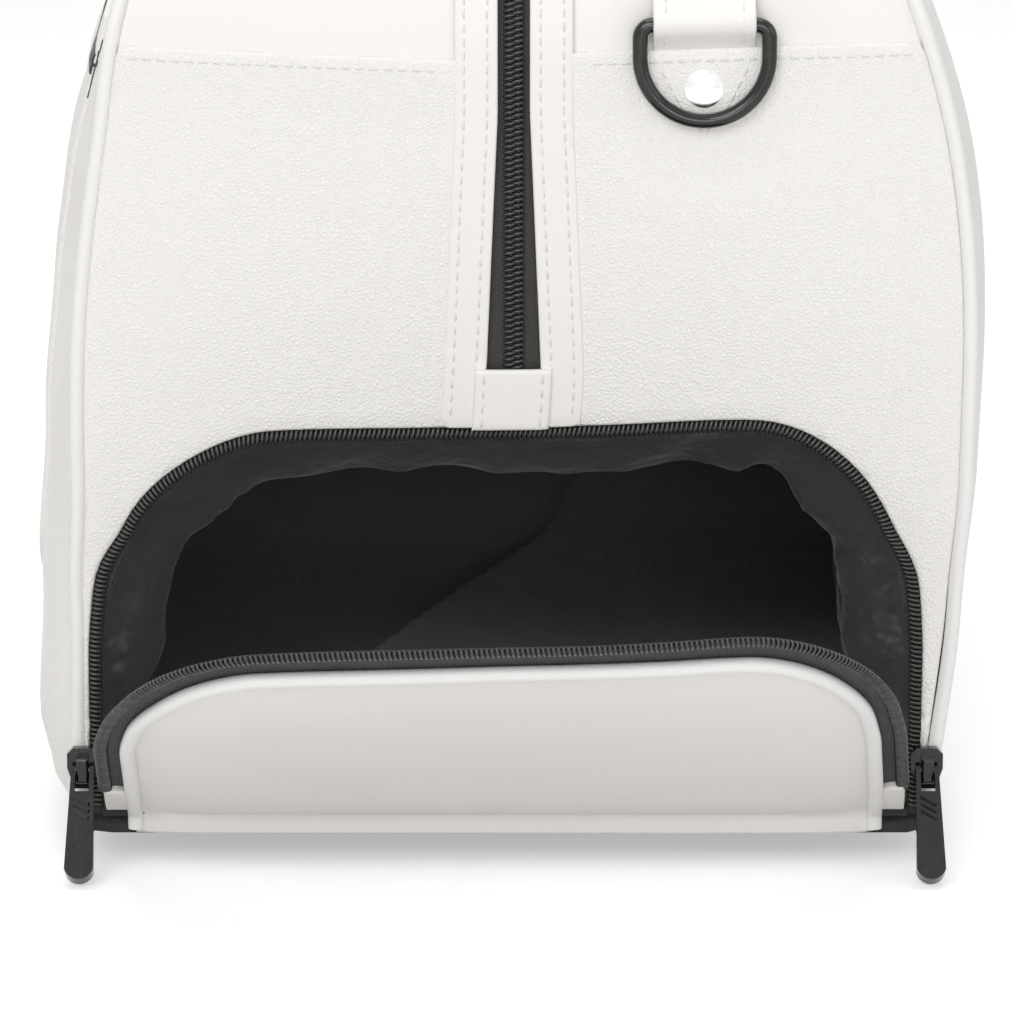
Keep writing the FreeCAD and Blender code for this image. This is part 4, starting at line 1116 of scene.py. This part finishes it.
# ---- side pocket
def pocket_point(u, z, h):
    """The pocket's panel: stitched down at its foot and ends, standing out to its zip."""
    free = smooth(z, pocket_low.z, pocket_low.z + 45 * MM)
    free *= smooth(pocket_high.y - abs(u), 0, 35 * MM)
    fuller = 0.8 * MM + 2.6 * MM * smooth(-u, -100 * MM, 40 * MM)
    lift = 1.3 * MM + fuller * free
    lift += 0.5 * MM * ripple(u * 16, z * 16, 8.0) * free
    lift = mix(lift, 1.2 * MM, smooth(z, pocket_high.z - 25 * MM, pocket_high.z))
    return flank(-1, -u, z, h + lift)


def left_side(lift):
    """The left side panel's surface lifted by a constant."""
    return lambda u, z, h: flank(-1, -u, z, h + lift)


half_pocket = (pocket_high.z - pocket_low.z) / 2
outline = [(u, pocket_low.z + half_pocket + v)
           for u, v in rounded(pocket_high.y, half_pocket, 18 * MM) if v < half_pocket - 20 * MM]
outline = [(pocket_high.y, pocket_high.z), (-pocket_high.y, pocket_high.z)] + outline
pocket = patch("pocket_panel", outline, pocket_point, 2 * MM, "grained_leather")
zip_mid = (pocket_zip_low.z + pocket_zip_high.z) / 2
tape_low, tape_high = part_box("pocket_zip_tape")
patch("pocket_zip_tape", oblong(tape_low.y, tape_low.z - 2 * MM, tape_high.y, tape_high.z),
      left_side(0.7 * MM), 0.5 * MM, "zip_tape", step=4 * MM, rim=0.25 * MM)
run = []
for y in values(pocket_low.y, pocket_high.y, 3 * MM):
    here = flank(-1, y, zip_mid)
    up = toward(here, flank(-1, y, zip_mid + MM))
    outward = toward(here, flank(-1, y, zip_mid, MM))
    run.append((here, up, outward))
closed_zip(("pocket_zip_coil", "pocket_zip_coil_upper"), run, 1.2 * MM, 1.55 * MM, 0.8 * MM)
patch("pocket_zip_welt",
      oblong(tape_low.y, tape_high.z - 3 * MM, tape_high.y, tape_high.z + 6 * MM),
      left_side(1.5 * MM), 1.4 * MM, "smooth_leather", step=3 * MM, rim=0.7 * MM)


# ---- handles
LEAN = radians(22)


def held(sign, x, y, z):
    """A point given in a handle's own plane, x outwards and z up from its rings."""
    return Vector((sign * (HANDLE_PIVOT.x + x * cos(LEAN) - z * sin(LEAN)), y,
                   HANDLE_PIVOT.z + x * sin(LEAN) + z * cos(LEAN)))


def strap_section(sign, row, half_width, half_thick):
    """A flat strap's rounded section at a row (y, z, outward y, outward z) of its middle."""
    y, z, out_y, out_z = row
    out = []
    for k in range(16):
        angle = 2 * pi * (k + 0.5) / 16
        across = copysign(abs(cos(angle)) ** 0.25, cos(angle)) * half_width
        thick = copysign(abs(sin(angle)) ** 0.6, sin(angle)) * half_thick
        out.append(held(sign, thick, y + out_y * across, z + out_z * across))
    return out


STRAP_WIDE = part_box("handle_right")[1].y - HANDLE_Y
STRAP_THICK = 2.0 * MM
GRIP_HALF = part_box("handle_grip_right")[1].y
RISE = 150 * MM               # height of a handle over its rings
RING_LONG = 15 * MM           # from the pivot up to the strap's eye
GRIP_Z = RISE - STRAP_WIDE
ALONG_Y = Vector((0, 1, 0))
middle_line = arch(HANDLE_Y, GRIP_Z, 46 * MM - STRAP_WIDE, RING_LONG - 3.6 * MM, 3 * MM)


def handle_seam(sign, face_side, edge):
    """Stitch lines near one edge of one face of a handle's strap, one for each leg."""
    shift = edge * (STRAP_WIDE - 2.6 * MM)
    out = Vector((sign * face_side * cos(LEAN), 0, face_side * sin(LEAN)))
    legs = {-1: [], 1: []}
    for y, z, out_y, out_z in middle_line:
        if z >= RING_LONG + 8 * MM and abs(y) >= GRIP_HALF + 2 * MM:
            here = held(sign, face_side * STRAP_THICK, y + out_y * shift, z + out_z * shift)
            legs[copysign(1, y)].append((here, ALONG_Y, out))
    return list(legs.values())


def grip_section(sign, y):
    """The padded grip's section: it draws in at its ends and along its seam underneath."""
    end = min((GRIP_HALF - abs(y)) / (5 * MM), 1)
    full = 0.72 + 0.28 * sqrt(max(1 - (1 - end) ** 2, 0))
    row = []
    for k in range(36):
        angle = 2 * pi * k / 36
        soft = 1 + 0.02 * ripple(y * 60, cos(angle), sin(angle))
        groove = 1 - 0.10 * hill(angle, 1.5 * pi, 0.12)
        deep = GRIP_DEEP * (0.9 + 0.1 * full) * soft * groove
        row.append(held(sign, GRIP_THICK * cos(angle) * full * soft, y,
                        GRIP_Z + deep * sin(angle)))
    return row


for sign, side in SIDES:
    handle = f"{side}_handle"
    sections = []
    for row in middle_line:
        eye = bump(row[1] - RING_LONG, 9 * MM)
        sections.append(strap_section(sign, row, STRAP_WIDE, mix(STRAP_THICK, 3.9 * MM, eye)))
    loft(f"handle_{side}", sections, "smooth_leather", handle)
    stitches(f"handle_stitches_{side}",
             [leg for face_side in (-1, 1) for edge in (-1, 1)
              for leg in handle_seam(sign, face_side, edge)], body=handle)
    grip = loft(f"handle_grip_{side}",
                [grip_section(sign, y) for y in values(-GRIP_HALF, GRIP_HALF, 2 * MM)],
                "smooth_leather", handle, crease=40)
    grip_run = values(-GRIP_HALF + 5 * MM, GRIP_HALF - 5 * MM, 3 * MM)
    stitches(f"handle_grip_stitches_{side}",
             [[(held(sign, off, y, GRIP_Z - 12.9 * MM), Vector((1, 0, 0)), Vector((0, 0, -1)))
               for y in grip_run] for off in (-1.6 * MM, 1.6 * MM)], body=handle)

ANCHOR_HALF = anchor_high.y - HANDLE_Y
anchor_cut = ANCHOR_HALF - 4 * MM
anchor_foot = anchor_low.z + 5 * MM
anchor_top = anchor_high.z + MM
ANCHOR_TAB = ((-ANCHOR_HALF, anchor_top), (-ANCHOR_HALF, anchor_foot), (-anchor_cut, anchor_low.z),
              (anchor_cut, anchor_low.z), (ANCHOR_HALF, anchor_foot), (ANCHOR_HALF, anchor_top))


def anchor_lift(z):
    return 1.5 * MM + 7.4 * MM * bump(z - HANDLE_PIVOT.z, 9.5 * MM)


for sign, side in SIDES:
    for end, end_sign in (("front", -1), ("rear", 1)):
        name = f"handle_anchor_{side}_{end}"
        u0 = sign * end_sign * HANDLE_Y
        patch(name, [(u0 + u, z) for u, z in ANCHOR_TAB],
              lambda u, z, h: flank(sign, sign * u, z, h + anchor_lift(z)), 1.4 * MM,
              "smooth_leather", step=1.6 * MM, rim=0.7 * MM, nodes=["handle_anchors"])
        stitches(f"{name}_stitches",
                 [[(flank(sign, end_sign * HANDLE_Y + aside, z, anchor_lift(z)), ALONG_Y,
                    Vector((sign, 0, 0)))
                   for z in values(anchor_foot, HANDLE_PIVOT.z - 8 * MM, MM)]
                  for aside in (2.4 * MM - ANCHOR_HALF, ANCHOR_HALF - 2.4 * MM)])


# ---- lining of the main room
lining_low, lining_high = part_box("main_compartment_lining")
ROOM_STEPS = 18
rooms = []
for y in values(lining_low.y, lining_high.y, 12 * MM):
    past = max(abs(y) - (-FRONT - SHOULDER), 0)
    roof = HEM + sqrt(max(SHOULDER ** 2 - past ** 2, 0)) - BODY_TOP + lining_high.z
    roof -= ROOM_SLACK        # clear of the shell where its end sags
    walls = spaced([Vector((side_x(min(z + 3 * MM, BODY_TOP)) - 4 * MM, z))
                    for z in values(lining_low.z, roof, 12 * MM)], 12 * MM)
    ring = []
    for k in range(ROOM_STEPS + 1):
        p = walls[round(k * (len(walls) - 1) / ROOM_STEPS)]
        slack = 1 - 0.02 * abs(ripple(y * 14, p.y * 14, 2.0))
        ring.append((p.x * slack, p.y))
    whole = ring + [(-x, z) for x, z in reversed(ring)]
    rooms.append([settle((x, y, z)) for x, z in whole])
loft("main_compartment_lining", rooms, "satin_lining")


# ---- stage, lights and camera
def area_light(name, place, aim, size, power):
    data = bpy.data.lights.new(name, "AREA")
    data.shape = "RECTANGLE"
    data.size, data.size_y = size
    data.energy = power
    lamp = add(name, data)
    lamp.location = place
    lamp.rotation_euler = (Vector(aim) - Vector(place)).to_track_quat("-Z", "Y").to_euler()


def seen_directly(tree):
    """1 for camera, mirror and glass rays, which all see the white background."""
    path = tree.nodes.new("ShaderNodeLightPath")
    total = path.outputs["Is Camera Ray"]
    for name in ("Is Glossy Ray", "Is Transmission Ray"):
        join = tree.nodes.new("ShaderNodeMath")
        join.operation = "MAXIMUM"
        tree.links.new(total, join.inputs[0])
        tree.links.new(path.outputs[name], join.inputs[1])
        total = join.outputs[0]
    return total


SKY = 0.45                    # strength of the white surroundings as a light
PAPER_GLOW = 0.42             # what the paper gives off by itself, to stay white
PAPER_GREY = 0.76
FLOOR_HALF = 4
world = bpy.data.worlds.new("studio")
bpy.context.scene.world = world
world.use_nodes = True
tree = world.node_tree
back = tree.nodes["Background"]
back.inputs["Color"].default_value = (1, 1, 1, 1)
level = tree.nodes.new("ShaderNodeMapRange")
level.inputs["To Min"].default_value = SKY
tree.links.new(seen_directly(tree), level.inputs["Value"])
tree.links.new(level.outputs["Result"], back.inputs["Strength"])

floor_mesh = bpy.data.meshes.new("studio_floor")
floor_corners = [(x, y, 0) for x, y in oblong(-FLOOR_HALF, -FLOOR_HALF, FLOOR_HALF, FLOOR_HALF)]
floor_mesh.from_pydata(floor_corners, [], [(0, 1, 2, 3)])
floor = add("studio_floor", floor_mesh)
paper = Finish("studio_paper", (PAPER_GREY,) * 3, 0.9, Specular_IOR_Level=0.1,
               Emission_Color=(1, 1, 1, 1))
glow = paper.maths("MULTIPLY", seen_directly(paper.material.node_tree), PAPER_GLOW)
paper.links.new(glow, paper.shader.inputs["Emission Strength"])
floor_mesh.materials.append(paper.material)

area_light("key", (-0.7, -2.0, 1.5), (0, -0.1, 0.12), (1.4, 1.0), 19)
area_light("fill", (0.15, -1.9, 0.4), (0, -0.1, 0.1), (0.8, 0.5), 4.6)
area_light("side", (1.6, -1.0, 0.8), (0, -0.1, 0.12), (1.0, 1.0), 3)
area_light("top", (0.0, 0.2, 2.0), (0, 0, 0.2), (1.6, 1.6), 19)

AIM_HIGH = 99 * MM
AIM = Vector((0, FRONT, AIM_HIGH))
PITCH = radians(13)           # the camera looks down by this
DISTANCE = 1.4
SENSOR_MM = 36
LENS_MM = 187
camera_data = bpy.data.cameras.new("camera")
camera_data.sensor_width = SENSOR_MM
camera_data.lens = LENS_MM
camera = add("camera", camera_data)
camera.location = AIM + DISTANCE * Vector((0, -cos(PITCH), sin(PITCH)))
camera.rotation_euler = (pi / 2 - PITCH, 0, 0)
bpy.context.scene.camera = camera
bpy.context.scene.view_settings.view_transform = "Standard"

bpy.context.view_layer.update()
